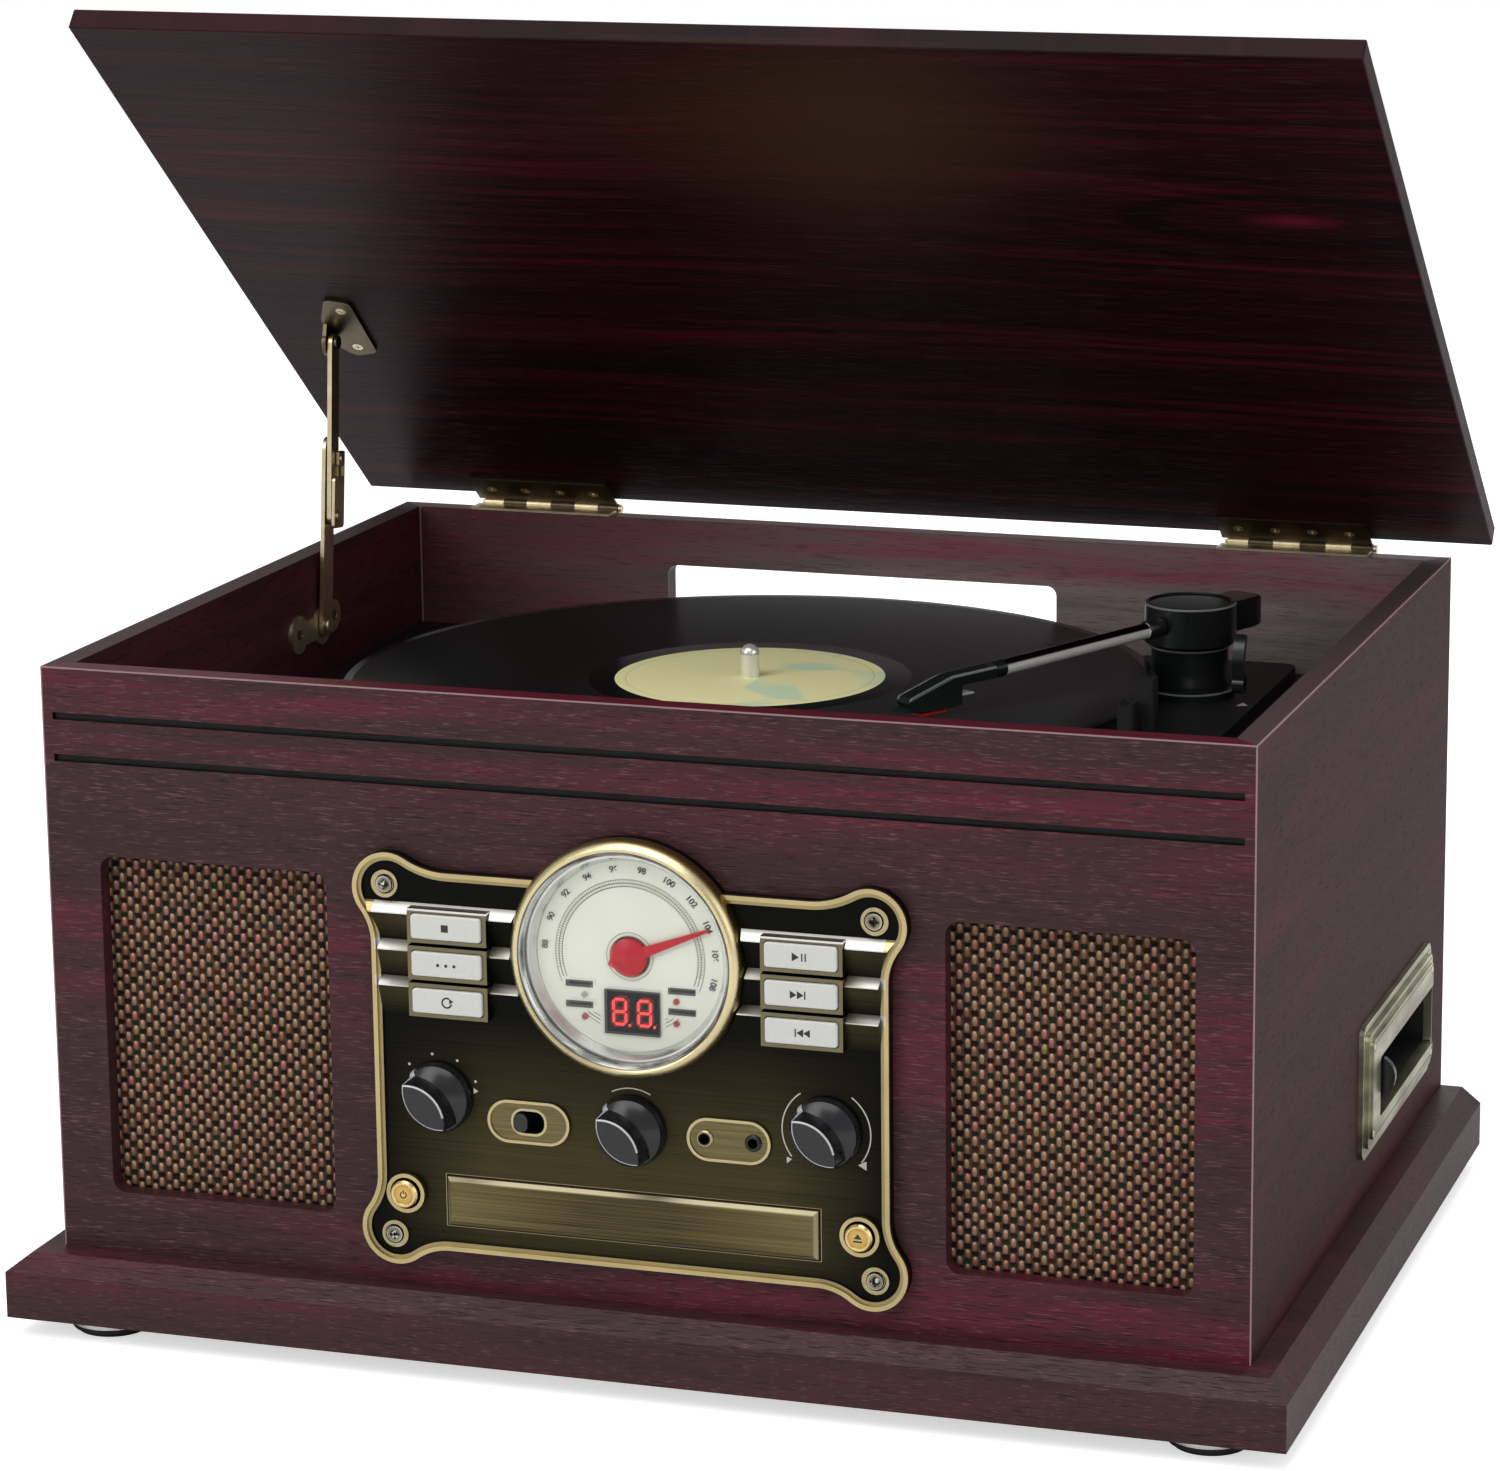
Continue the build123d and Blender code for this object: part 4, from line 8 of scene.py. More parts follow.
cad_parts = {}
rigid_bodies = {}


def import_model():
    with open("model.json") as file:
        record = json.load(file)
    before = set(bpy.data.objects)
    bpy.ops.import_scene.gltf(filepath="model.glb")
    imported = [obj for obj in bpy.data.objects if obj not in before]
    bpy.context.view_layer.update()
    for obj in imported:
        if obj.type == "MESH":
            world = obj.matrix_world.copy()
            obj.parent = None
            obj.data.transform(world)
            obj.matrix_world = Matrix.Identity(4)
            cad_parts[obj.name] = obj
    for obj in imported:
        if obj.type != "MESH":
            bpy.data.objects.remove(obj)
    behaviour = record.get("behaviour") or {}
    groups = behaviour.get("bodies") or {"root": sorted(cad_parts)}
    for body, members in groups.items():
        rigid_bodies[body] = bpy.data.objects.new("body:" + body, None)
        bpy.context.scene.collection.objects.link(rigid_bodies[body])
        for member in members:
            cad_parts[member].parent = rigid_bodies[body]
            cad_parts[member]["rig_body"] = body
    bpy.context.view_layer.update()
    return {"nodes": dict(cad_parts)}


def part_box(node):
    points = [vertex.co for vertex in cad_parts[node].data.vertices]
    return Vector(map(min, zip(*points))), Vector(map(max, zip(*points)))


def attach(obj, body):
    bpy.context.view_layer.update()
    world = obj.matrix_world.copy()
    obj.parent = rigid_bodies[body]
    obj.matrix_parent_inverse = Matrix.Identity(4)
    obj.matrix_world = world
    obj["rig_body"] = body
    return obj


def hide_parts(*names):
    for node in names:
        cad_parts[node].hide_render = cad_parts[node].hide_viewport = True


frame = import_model()
nodes = frame["nodes"]
scene = bpy.context.scene
scene.view_settings.view_transform = "Standard"

# ---- Camera
# A long lens a little above and to the right of the front, as the product picture was taken.
# The turn, tilt and shift put the cabinet's corners where that picture has them.
camera_data = bpy.data.cameras.new("camera")
camera = bpy.data.objects.new("camera", camera_data)
scene.collection.objects.link(camera)
camera_data.lens = 116.945
camera_data.sensor_width = 36
camera_data.shift_x = -0.12828
camera_data.shift_y = -0.04227
camera_data.clip_end = 20
turn, tilt, roll = math.radians(16.828), math.radians(12.502), math.radians(0.182)
camera.matrix_world = (Matrix.Translation((0.56501, -1.65875, 0.60893)) @ Matrix.Rotation(turn, 4, "Z")
                       @ Matrix.Rotation(math.pi / 2 - tilt, 4, "X") @ Matrix.Rotation(-roll, 4, "Z"))
scene.camera = camera

# ---- Floor, light and shader arithmetic
# A white studio sweep under large soft lamps. The floor is plain white paper, and it looks pure white
# wherever the object's shadow doesn't fall.


class Wire:
    """A shader socket that Python's operators work on. Each operator adds one Math node."""

    def __init__(self, finish, socket):
        self.finish, self.socket = finish, socket

    def sum(self, operation, *values, clamp=False):
        node = self.finish.node("ShaderNodeMath", {"operation": operation, "use_clamp": clamp}, *values)
        return Wire(self.finish, node.outputs[0])

    def __add__(self, other): return self.sum("ADD", self, other)
    def __radd__(self, other): return self.sum("ADD", other, self)
    def __sub__(self, other): return self.sum("SUBTRACT", self, other)
    def __rsub__(self, other): return self.sum("SUBTRACT", other, self)
    def __mul__(self, other): return self.sum("MULTIPLY", self, other)
    def __rmul__(self, other): return self.sum("MULTIPLY", other, self)
    def __truediv__(self, other): return self.sum("DIVIDE", self, other)
    def __pow__(self, other): return self.sum("POWER", self, other)
    def __gt__(self, other): return self.sum("GREATER_THAN", self, other)
    def __lt__(self, other): return self.sum("LESS_THAN", self, other)
    def __abs__(self): return self.sum("ABSOLUTE", self)
    def sine(self): return self.sum("SINE", self)
    def root(self): return self.sum("SQRT", self)
    def floor(self): return self.sum("FLOOR", self)
    def part(self): return self.sum("FRACT", self)
    def least(self, other): return self.sum("MINIMUM", self, other)
    def most(self, other): return self.sum("MAXIMUM", self, other)
    def clip(self): return self.sum("ADD", self, 0.0, clamp=True)

    def rise(self, low, high):
        """0 below low, 1 above high, a straight slope between."""
        return ((self - low) / (high - low)).clip()

    def diagonal(self, other):
        """The long side of a right triangle that has these two short sides."""
        return (self * self + other * other).root()

    def line(self, thin, wide):
        """1 where the value is within thin of 0, falling to 0 at wide: a soft printed or polished line."""
        return 1.0 - abs(self).rise(thin, wide)


class Finish:
    """A material: its node tree, one Principled shader, and short ways to add nodes."""

    def __init__(self, name, **shader):
        self.material = bpy.data.materials.new(name)
        self.material.use_nodes = True
        self.tree = self.material.node_tree
        self.shader = self.tree.nodes["Principled BSDF"]
        self.set(**shader)
        place = self.node("ShaderNodeTexCoord").outputs["Object"]
        parts = self.node("ShaderNodeSeparateXYZ", None, place)
        self.x, self.y, self.z = (Wire(self, parts.outputs[i]) for i in range(3))

    def node(self, kind, settings=None, *values, **named):
        node = self.tree.nodes.new(kind)
        for key, value in (settings or {}).items():
            setattr(node, key, value)
        for key, value in list(enumerate(values)) + list(named.items()):
            if value is not None:
                self.plug(node.inputs[key], value)
        return node

    def plug(self, socket, value):
        value = value.socket if isinstance(value, Wire) else value
        if isinstance(value, bpy.types.NodeSocket):
            self.tree.links.new(value, socket)
        else:
            if socket.type == "RGBA" and len(value) == 3:
                value = (*value, 1.0)
            socket.default_value = value

    def set(self, **sockets):
        for key, value in sockets.items():
            self.plug(self.shader.inputs[key.replace("_", " ")], value)
        return self

    def vector(self, x, y, z):
        return self.node("ShaderNodeCombineXYZ", None, x, y, z).outputs[0]

    def noise(self, vector, detail=2.0, roughness=0.5, distortion=0.0):
        found = self.node("ShaderNodeTexNoise", None, Vector=vector, Scale=1.0, Detail=detail,
                          Roughness=roughness, Distortion=distortion)
        return Wire(self, found.outputs[0])

    def grain(self, x, y, z, *settings):
        """Noise with this many cells to the metre along each axis, none along an axis that says 0."""
        cells = (axis * count if count else 0.0 for axis, count in ((self.x, x), (self.y, y), (self.z, z)))
        return self.noise(self.vector(*cells), *settings)

    def chance(self, x, y, z=0.0):
        """An even random number from 0 to 1 for each whole-number cell."""
        found = self.node("ShaderNodeTexWhiteNoise", {"noise_dimensions": "3D"}, self.vector(x, y, z))
        return Wire(self, found.outputs[0])

    def bearing(self, across, up):
        """The angle, in radians, of a point seen from the centre."""
        return Wire(self, self.node("ShaderNodeMath", {"operation": "ARCTAN2"}, up, across).outputs[0])

    def mix(self, share, low, high):
        """low where share is 0, high where it is 1."""
        node = self.node("ShaderNodeMix", {"data_type": "RGBA"})
        for index, value in ((0, share), (6, low), (7, high)):
            self.plug(node.inputs[index], value)
        return Wire(self, node.outputs[2])

    def blend(self, share, low, high):
        """The same for two plain numbers or wires."""
        return low + (high - low) * share

    def bump(self, height, depth):
        """depth is how tall, in metres, a height of 1 stands."""
        raised = self.node("ShaderNodeBump", None, Strength=1.0, Distance=depth, Height=height)
        self.set(Normal=raised.outputs[0])
        return self

    def on(self, *names):
        for name in names:
            mesh = (nodes[name] if isinstance(name, str) else name).data
            mesh.materials.clear()
            mesh.materials.append(self.material)
        return self


def made(name, points, faces):
    """A mesh object from an array of points and an array of faces, linked to the scene."""
    mesh = bpy.data.meshes.new(name)
    faces = faces if isinstance(faces, list) else faces.tolist()
    mesh.from_pydata(np.asarray(points, float).tolist(), [], faces)
    piece = bpy.data.objects.new(name, mesh)
    scene.collection.objects.link(piece)
    return piece


paper = Finish("white paper", Base_Color=(0.93, 0.93, 0.93), Roughness=0.9)
paper.set(Specular_IOR_Level=0.1)
seen = paper.node("ShaderNodeLightPath").outputs["Is Camera Ray"]
paper.set(Emission_Color=paper.mix(seen, (0, 0, 0), (1, 1, 1)), Emission_Strength=0.6)
floor = made("floor", [(-9, -9, 0), (9, -9, 0), (9, 9, 0), (-9, 9, 0)], [(0, 1, 2, 3)])
paper.on(floor)

world = bpy.data.worlds.new("studio")
scene.world = world
world.use_nodes = True
sky = world.node_tree
light_path = sky.nodes.new("ShaderNodeLightPath")
backdrop = sky.nodes.new("ShaderNodeMixShader")
shown, ambient = sky.nodes["Background"], sky.nodes.new("ShaderNodeBackground")
shown.inputs[0].default_value, shown.inputs[1].default_value = (1, 1, 1, 1), 1.0
ambient.inputs[0].default_value, ambient.inputs[1].default_value = (1, 1, 1, 1), 0.42
sky.links.new(light_path.outputs["Is Camera Ray"], backdrop.inputs[0])
sky.links.new(ambient.outputs[0], backdrop.inputs[1])
sky.links.new(shown.outputs[0], backdrop.inputs[2])
sky.links.new(backdrop.outputs[0], sky.nodes["World Output"].inputs[0])

LAMPS = {"overhead": ((-0.2, -1.0, 2.2), 2.2, 30), "left front": ((-1.7, -2.3, 1.5), 1.6, 19),
         "right": ((2.4, -0.7, 1.0), 1.6, 8), "rear": ((0.3, 2.2, 1.9), 1.6, 14)}
AIM = Vector((0, 0, 0.15))
for lamp_name, (place, size, watts) in LAMPS.items():
    lamp_data = bpy.data.lights.new(lamp_name, "AREA")
    lamp_data.size, lamp_data.energy = size, watts
    lamp = bpy.data.objects.new(lamp_name, lamp_data)
    scene.collection.objects.link(lamp)
    facing = (AIM - Vector(place)).to_track_quat("-Z", "Y").to_matrix().to_4x4()
    lamp.matrix_world = Matrix.Translation(place) @ facing

# ---- Cabinet boards
# Chipboard faced with a dark mahogany-pattern foil: long crimson bands under fine dark pores and short
# pale flecks that run along the board; the flecks are painted highlights of the foil's embossed grain.
# The foil is slightly satin and shows soft grey reflections.
FRONT = -0.15875                                   # outer face of the front board
HALF_WIDE, HALF_DEEP, BOARD = 0.218, 0.164, 0.009  # half sizes of the box, and a board's thickness
MIDDLE, BACK = FRONT + HALF_DEEP, FRONT + 2 * HALF_DEEP
BED = 0.0305                                       # underside of the boards
DECK, RIM = BED + 0.165, BED + 0.213               # top of the deck, top edge of the boards
GROOVES = (BED + 0.1955, BED + 0.1805)             # the two sawn grooves in the front board


def cut_edges(wood):
    """1 within half a millimetre of the cabinet's outer corners, where the foil's cut edge shows pale."""
    beyond_side, beyond_face = abs(wood.x) - HALF_WIDE, abs(wood.y - MIDDLE) - HALF_DEEP
    side, face = ((beyond > -0.0005) * (beyond < 0.0001) for beyond in (beyond_side, beyond_face))
    top = wood.z > RIM - 0.0005
    return (side * face + side * top + face * top).clip()


def mahogany(board, along, shade=(0.044, 0.0150, 0.0180), red=0.5, fleck=1.0, gloss=0.42, shine=0.26,
             pores=0.7, relief=0.0001, inner=None, top_edge=(0.085, 0.010, 0.017)):
    """Long hazy crimson bands, then short pale flecks and short dark pores, all running along one axis.
    inner holds the ground and band colours of the faces inside the cabinet."""
    wood = Finish(f"mahogany foil, {board}", Specular_IOR_Level=shine)
    u, v = (wood.x, wood.y) if along == "x" else (wood.y, wood.x)

    def fibres(long, cross, *settings, start=0.0):
        return wood.noise(wood.vector(u * long + start, v * cross, wood.z * cross), *settings)

    broad, narrow = fibres(2.6, 24, 3, 0.55, 0.5), fibres(11, 150, 3, 0.6)
    # Painted highlights: the pale flecks stand for light caught on the embossed grain.
    pale = fibres(190, 2100, 1).rise(0.60, 0.72) * narrow.rise(0.2, 0.5) * fleck
    pore = fibres(110, 1500, 1, start=40.0).rise(0.58, 0.68) * pores
    band = (0.105, 0.009, 0.022)
    if board == "front":
        broad = broad + (wood.z - BED - 0.168).line(0.004, 0.030) * wood.x.line(0.06, 0.17) * 0.18
    crimson = broad.rise(0.46, 0.72) * narrow.rise(0.25, 0.65) * red * 1.6
    if inner:
        inset = BOARD - 0.0015
        inside = (abs(wood.x) < HALF_WIDE - inset) * (abs(wood.y - MIDDLE) < HALF_DEEP - inset)
        # On the back, the paler inner colours are painted light: weakest at the left end, full from the
        # middle rightwards.
        if board == "back":
            inside = inside * (0.15 + wood.x.rise(-0.19, 0.00) * 0.85)
        shade, band = wood.mix(inside, shade, inner[0]), wood.mix(inside, band, inner[1])
    colour = wood.mix(crimson.clip(), shade, band)
    colour = wood.mix(narrow.rise(0.62, 0.34) * 0.3, colour, (0.010, 0.005, 0.006))
    colour = wood.mix(pore, colour, (0.008, 0.004, 0.005))
    colour = wood.mix(pale * 0.55, colour, (0.17, 0.078, 0.088))
    pale_line = cut_edges(wood) * (wood.z > BED + 0.0005)
    if board == "front":
        groove = (abs(wood.z - GROOVES[0]) < 0.00135) + (abs(wood.z - GROOVES[1]) < 0.00135)
        groove = groove * (wood.y > FRONT + 0.0002) * (wood.y < FRONT + 0.0017)
        colour = wood.mix(groove, colour, (0.003, 0.002, 0.002))
    if board == "back":
        corner = (abs(wood.x + HALF_WIDE - BOARD - 0.0004) < 0.00035) * (wood.y < BACK - BOARD + 0.0005)
        pale_line = pale_line + corner * (wood.z > DECK)
    if board != "base":
        colour = wood.mix(wood.z > RIM - 0.0001, colour, top_edge)
    colour = wood.mix(pale_line * 0.7, colour, (0.42, 0.26, 0.27))
    wood.set(Base_Color=colour, Roughness=wood.blend(pore, gloss, gloss + 0.2))
    return wood.bump(pore * -1.0 + narrow * 0.4, relief)


def mottled(name, dark, light, rough, cells=(900, 900, 900), relief=None, **shader):
    """A moulded or printed finish in two close shades, mottled by fine noise. rough is one roughness, or one
    for each shade. cells are the noise's cells to the metre, then its detail and roughness if given."""
    finish = Finish(name, **shader)
    mottle = finish.grain(*cells)
    roughness = finish.blend(mottle, *rough) if isinstance(rough, tuple) else rough
    finish.set(Base_Color=finish.mix(mottle, dark, light), Roughness=roughness)
    return finish.bump(mottle, relief) if relief else finish


mahogany("front", "x", shade=(0.043, 0.0140, 0.0175), red=0.9).on("front_board")
# The back's paler inner ground and band colours are painted light falling inside the cabinet.
mahogany("back", "x", red=0.9, pores=0.3, inner=((0.30, 0.24, 0.235), (0.30, 0.085, 0.115))).on("back_board")
# The side boards' greyish top edge colour is a painted highlight.
mahogany("sides", "y", shade=(0.045, 0.0135, 0.0150), red=0.6, fleck=0.3, gloss=0.55, shine=0.1, pores=0.4,
         relief=0.00003, inner=((0.075, 0.022, 0.028), (0.13, 0.010, 0.024)),
         top_edge=(0.070, 0.046, 0.050)).on("left_side_board", "right_side_board")
mahogany("base", "x", shade=(0.046, 0.016, 0.019), red=0.4, gloss=0.4).on("base_rails")
underside = Finish("black painted board", Base_Color=(0.012, 0.011, 0.011))
underside.set(Roughness=underside.blend(underside.grain(300, 300, 0), 0.7, 0.9)).on("bottom_board")

# ---- Lid
# One board of the same stuff with a darker, wilder cathedral figure on its inner face and one knot
# near the right. Its inner face leans with the lid, so the figure is drawn on lengths along the board.
PIN_Y, PIN_Z, LEAN = 0.17275, 0.2445, math.radians(39.5)     # the hinge pin, and the lid's lean
lid = Finish("mahogany foil, lid", Specular_IOR_Level=0.115)
lid_up = (lid.z - PIN_Z) * math.sin(LEAN) - (lid.y - PIN_Y) * math.cos(LEAN)
lid_depth = (lid.z - PIN_Z) * math.cos(LEAN) + (lid.y - PIN_Y) * math.sin(LEAN)
drift = lid.noise(lid.vector(lid.x * 3.0, lid_up * 5.0, 3.0))
knot = ((lid.x - 0.194) / 0.050).diagonal((lid_up - 0.235) / 0.0135)
near_knot = (1.0 - knot.rise(1.0, 4.5)) ** 2.0
bent_up = lid_up + drift * 0.03 + near_knot * 0.012
figure = lid.noise(lid.vector(lid.x * 1.3, bent_up * 42, 1.0), 3, 0.6, 0.3)
lines = lid.noise(lid.vector(lid.x * 6, bent_up * 240, 2.0), 3, 0.6)
fibre = lid.noise(lid.vector(lid.x * 60, lid_up * 1300, 0.0))
lid_red = (figure.rise(0.42, 0.70) * lines.rise(0.36, 0.60)).clip()
lid_colour = lid.mix(lid_red * 0.68, (0.0160, 0.0026, 0.0048), (0.088, 0.0045, 0.0160))
lid_colour = lid.mix(lines.rise(0.6, 0.4) * 0.5, lid_colour, (0.0035, 0.0012, 0.0018))
knot_rings = near_knot * (knot * 7.0).sine().rise(-0.2, 0.9)
lid_colour = lid.mix(knot_rings * 0.8, lid_colour, (0.004, 0.0015, 0.002))
lid_colour = lid.mix((1.0 - knot.rise(0.0, 0.45)) * 0.8, lid_colour, (0.13, 0.008, 0.020))
lid_colour = lid.mix(fibre.rise(0.6, 0.72) * 0.25, lid_colour, (0.06, 0.032, 0.034))
olive_patch = ((lid.x - 0.030) / 0.10).diagonal((lid_up - 0.285) / 0.06).line(0.3, 1.2)
lid_colour = lid.mix(olive_patch * (lid_depth < 0.004) * 0.75, lid_colour, (0.042, 0.0150, 0.0065))
open_fibre = fibre.rise(0.58, 0.7)
lid.set(Base_Color=lid_colour, Roughness=lid.blend(open_fibre, 0.40, 0.54))
lid.bump(open_fibre * -1.0, 0.00008)
lid.on("lid_board")

# ---- Front plate and drawer front
# Pressed steel with an antique brass plating, brushed from side to side: olive gold in the open field,
# toned almost black towards the edges, the dial and the upper strip. The drawer front is paler, with a
# pressed line round it.
HALF_PLATE, LOUVRE_FOOT, LOUVRE_PITCH = 0.094, 0.0985, 0.0133
SLOT_X, SLOT_Z, SLOT_HIGH = 0.0681, BED + 0.03265, 0.00895    # the drawer's slot, as half sizes
plate = Finish("antique brass plating", Metallic=0.85)
height, outward = plate.z - BED, abs(plate.x) / HALF_PLATE
brushed = plate.grain(9, 500, 2600, 3, 0.65)
soft = plate.grain(7, 0, 22)
open_field = height.rise(0.012, 0.026) * (1.0 - height.rise(0.052, 0.102)) * (1.0 - outward.rise(0.55, 0.98))
louvres = height.rise(LOUVRE_FOOT, 0.100) * (1.0 - height.rise(0.1375, 0.1385))
louvres = louvres * outward.rise(0.50, 0.72) * (1.0 - outward.rise(0.78, 1.0) * 0.5)
louvres = louvres * ((height - LOUVRE_FOOT) / LOUVRE_PITCH).part().rise(0.0, 0.6)
gold = (open_field * 0.9 + louvres * 0.8).clip()
gold = (gold + (brushed - 0.5) * 1.5 * (gold + 0.16) + (soft - 0.5) * 0.3 * gold).clip()
beyond_slot = (abs(plate.x) - SLOT_X).most(abs(plate.z - SLOT_Z) - SLOT_HIGH)
slot_line = (beyond_slot > 0.00012) * (beyond_slot < 0.00062)
plate_colour = plate.mix(gold, (0.0022, 0.0022, 0.0014), (0.064, 0.053, 0.020))
plate.set(Base_Color=plate.mix(slot_line, plate_colour, (0.34, 0.28, 0.16)),
          Roughness=plate.blend(brushed, 0.30, 0.5))
plate.bump(brushed, 0.00006)
plate.on("fascia_plate")

drawer = Finish("antique brass drawer front", Metallic=0.85)
drawer_brush = drawer.grain(9, 500, 2600, 3, 0.65)
drawer_end, drawer_side = abs(drawer.x) / 0.0677, abs(drawer.z - SLOT_Z) / 0.00865
drawer_line = drawer_end.rise(0.975, 0.985).most(drawer_side.rise(0.84, 0.88))
drawer_gold = (drawer_end.rise(0.25, 1.0) * 0.40 + 0.30 + (drawer_brush - 0.5) * 1.5).clip()
drawer_colour = drawer.mix(drawer_gold, (0.012, 0.010, 0.004), (0.25, 0.20, 0.085))
drawer.set(Base_Color=drawer.mix(drawer_line * 0.6, drawer_colour, (0.62, 0.55, 0.36)),
           Roughness=drawer.blend(drawer_brush, 0.28, 0.5))
drawer.bump(drawer_brush, 0.00006)
drawer.on("drawer_front")

# ---- Dial ring
# Turned brass: a rounded pale gold outer ring, darkened at its outer edge by painted shade, and inside it a
# bright plated slope with painted reflection streaks and fine dark lines of painted shadow.
DIAL = (0.0007, BED + 0.1256)


def gold_plating(name, bright, toned, sheen, wear):
    """Pale plating over darker toning: wear is how much of the piece the toning reaches."""
    metal = Finish(name, Metallic=1.0)
    patch, hair = metal.grain(160, 160, 160, 3, 0.6), metal.grain(90, 1800, 1800)
    metal.set(Base_Color=metal.mix((patch.rise(0.35, 0.7) * wear + (1.0 - wear)).clip(), toned, bright),
              Roughness=metal.blend(hair, sheen, sheen + 0.14))
    return metal.bump(hair, 0.00002)


bezel = gold_plating("pale gold and chrome dial ring", (0.80, 0.67, 0.38), (0.16, 0.115, 0.045), 0.22, 0.5)
bezel_x, bezel_z = bezel.x - DIAL[0], bezel.z - DIAL[1]
bezel_radius = bezel_x.diagonal(bezel_z) * 1000.0
bezel_turn = bezel.bearing(bezel_x, bezel_z)
painted_streak_reflections = bezel.noise(bezel.vector(abs(bezel_turn) * 2.2, bezel_radius * 0.5, 0.0)).rise(0.38, 0.60)
# Painted shade: the gold ring darkens over its outer roll.
gold_ring = bezel.mix(bezel_radius.rise(40.6, 41.8), (0.84, 0.72, 0.42), (0.44, 0.33, 0.13))
# Painted reflections: light and dark streaks round the chrome slope.
chrome_ring = bezel.mix(painted_streak_reflections, (0.11, 0.11, 0.105), (0.68, 0.69, 0.67))
# Painted shadow: dark lines on the slope, and dark inside it next to the card.
painted_shadow_lines = (abs(bezel_radius - 38.1) < 0.25) + (abs(bezel_radius - 36.4) < 0.16) + (bezel_radius < 34.8)
bezel_colour = bezel.mix(bezel_radius < 38.1, gold_ring, chrome_ring)
bezel.set(Base_Color=bezel.mix(painted_shadow_lines.clip() * 0.8, bezel_colour, (0.06, 0.055, 0.045)), Roughness=0.16)
bezel.on("dial_bezel")

# ---- Bright trim of the front plate
# One bright-edged pressing of the raised rim, the key frames, the two oval plates and the louvre ledges.
# The edges catch the light, and a thin brown toning stays in the corners.
FACE = FRONT - 0.003                               # front face of the plate
FRAME_X, FRAME_HALF = 0.064, 0.01475               # centre and half width of a column of key frames
OVAL_X, OVAL_Z = 0.0365, 63.6                      # the oval plates, with their height in mm
trim = Finish("front plate trim", Metallic=1.0)
trim_high, trim_z = (FACE - trim.y) * 1000.0, (trim.z - BED) * 1000.0
trim_hair, trim_patch = trim.grain(40, 900, 2200, 3, 0.6), trim.grain(60, 60, 60)
on_rim = trim_high.rise(0.85, 0.95) * (trim_patch * 0.6 + 0.55).clip()
trim_colour = trim.mix(on_rim, (0.15, 0.12, 0.055), (0.66, 0.53, 0.27))
from_frame = abs(abs(trim.x) - FRAME_X)
frames = (from_frame < FRAME_HALF) * (trim_z > 98.5) * (trim_z < 137.5)
frame_colour = trim.mix(trim_high.rise(5.1, 5.19), (0.05, 0.045, 0.022), (0.20, 0.175, 0.10))
trim_colour = trim.mix(frames, trim_colour, frame_colour)
ovals = (abs(abs(trim.x) - OVAL_X) < 0.0165) * (abs(trim_z - OVAL_Z) < 8.2)
olive = trim.mix((trim_hair * 1.2).clip(), (0.045, 0.040, 0.018), (0.27, 0.22, 0.105))
mouth_x = (abs(trim.x + 0.037) - 0.0021).most(0.0)
mouth_z = (abs(trim_z - OVAL_Z) * 0.001 - 0.0004).most(0.0)
mouth = abs(mouth_x.diagonal(mouth_z) - 0.0040) < 0.00045
oval_colour = trim.mix((trim_high > 0.75).most(mouth), olive, (0.60, 0.50, 0.28))
trim_colour = trim.mix(ovals, trim_colour, oval_colour)
upper, middle, lower = ((trim_z > foot) * (trim_z < head)
                        for foot, head in ((134.9, 139.2), (121.8, 125.6), (109.0, 112.5)))
ledges = (upper + middle + lower) * (1.0 - frames) * (abs(trim.x) < 0.0925) * (1.0 - (trim_high < 0.02))
towards_frame = (1.0 - (from_frame - 0.0145).rise(0.000, 0.009)) * (trim_z < 134.0)
ledge_colour = trim.mix(trim_high.rise(0.6, 2.6), (0.34, 0.33, 0.29), (0.84, 0.83, 0.80))
ledge_colour = trim.mix(towards_frame * 0.8, ledge_colour, (0.30, 0.27, 0.17))
trim.set(Base_Color=trim.mix(ledges.clip(), trim_colour, ledge_colour),
         Roughness=trim.blend(trim_hair, 0.22, 0.38))
trim.bump(trim_hair, 0.00002)
trim.on("fascia_trim")

# ---- Jack sockets and round buttons
# Turned brass socket collars with black bores, and two small turned buttons with an amber plating that
# sit in wells; their sides down in the wells are painted dark as painted shade.
JACKS = ((0.0273, BED + 0.0637, 0.0023), (0.0448, BED + 0.0636, 0.0031))    # centre and radius of a bore
BUTTON_X, BUTTON_Z = 0.083, BED + 0.0343
sockets = Finish("jack sockets")
left_bore, right_bore = ((sockets.x - x).diagonal(sockets.z - z) < radius for x, z, radius in JACKS)
bores = (left_bore + right_bore).clip()
sockets.set(Base_Color=sockets.mix(bores, (0.55, 0.45, 0.24), (0.004, 0.004, 0.004)), Metallic=1.0 - bores,
            Roughness=sockets.blend(sockets.grain(900, 900, 900), 0.25, 0.4))
sockets.on("jack_sockets")

amber = Finish("round button plating", Metallic=1.0)
amber_radius = (abs(amber.x) - BUTTON_X).diagonal(amber.z - BUTTON_Z) * 1000.0
amber_face = amber.mix(amber_radius.rise(0.5, 3.4), (0.80, 0.56, 0.20), (0.62, 0.40, 0.11))
amber_face = amber.mix(amber_radius.rise(3.5, 3.6), amber_face, (0.86, 0.66, 0.30))
# Painted shade: each button's side darkens towards the plate, down in its well.
well_shade = (amber.y - FACE + 0.0037).rise(0.0, 0.0016)
amber.set(Base_Color=amber.mix(well_shade, amber_face, (0.075, 0.035, 0.012)),
          Roughness=amber.blend(amber.grain(500, 500, 500), 0.2, 0.32))
amber.on("power_button", "open_close_button")

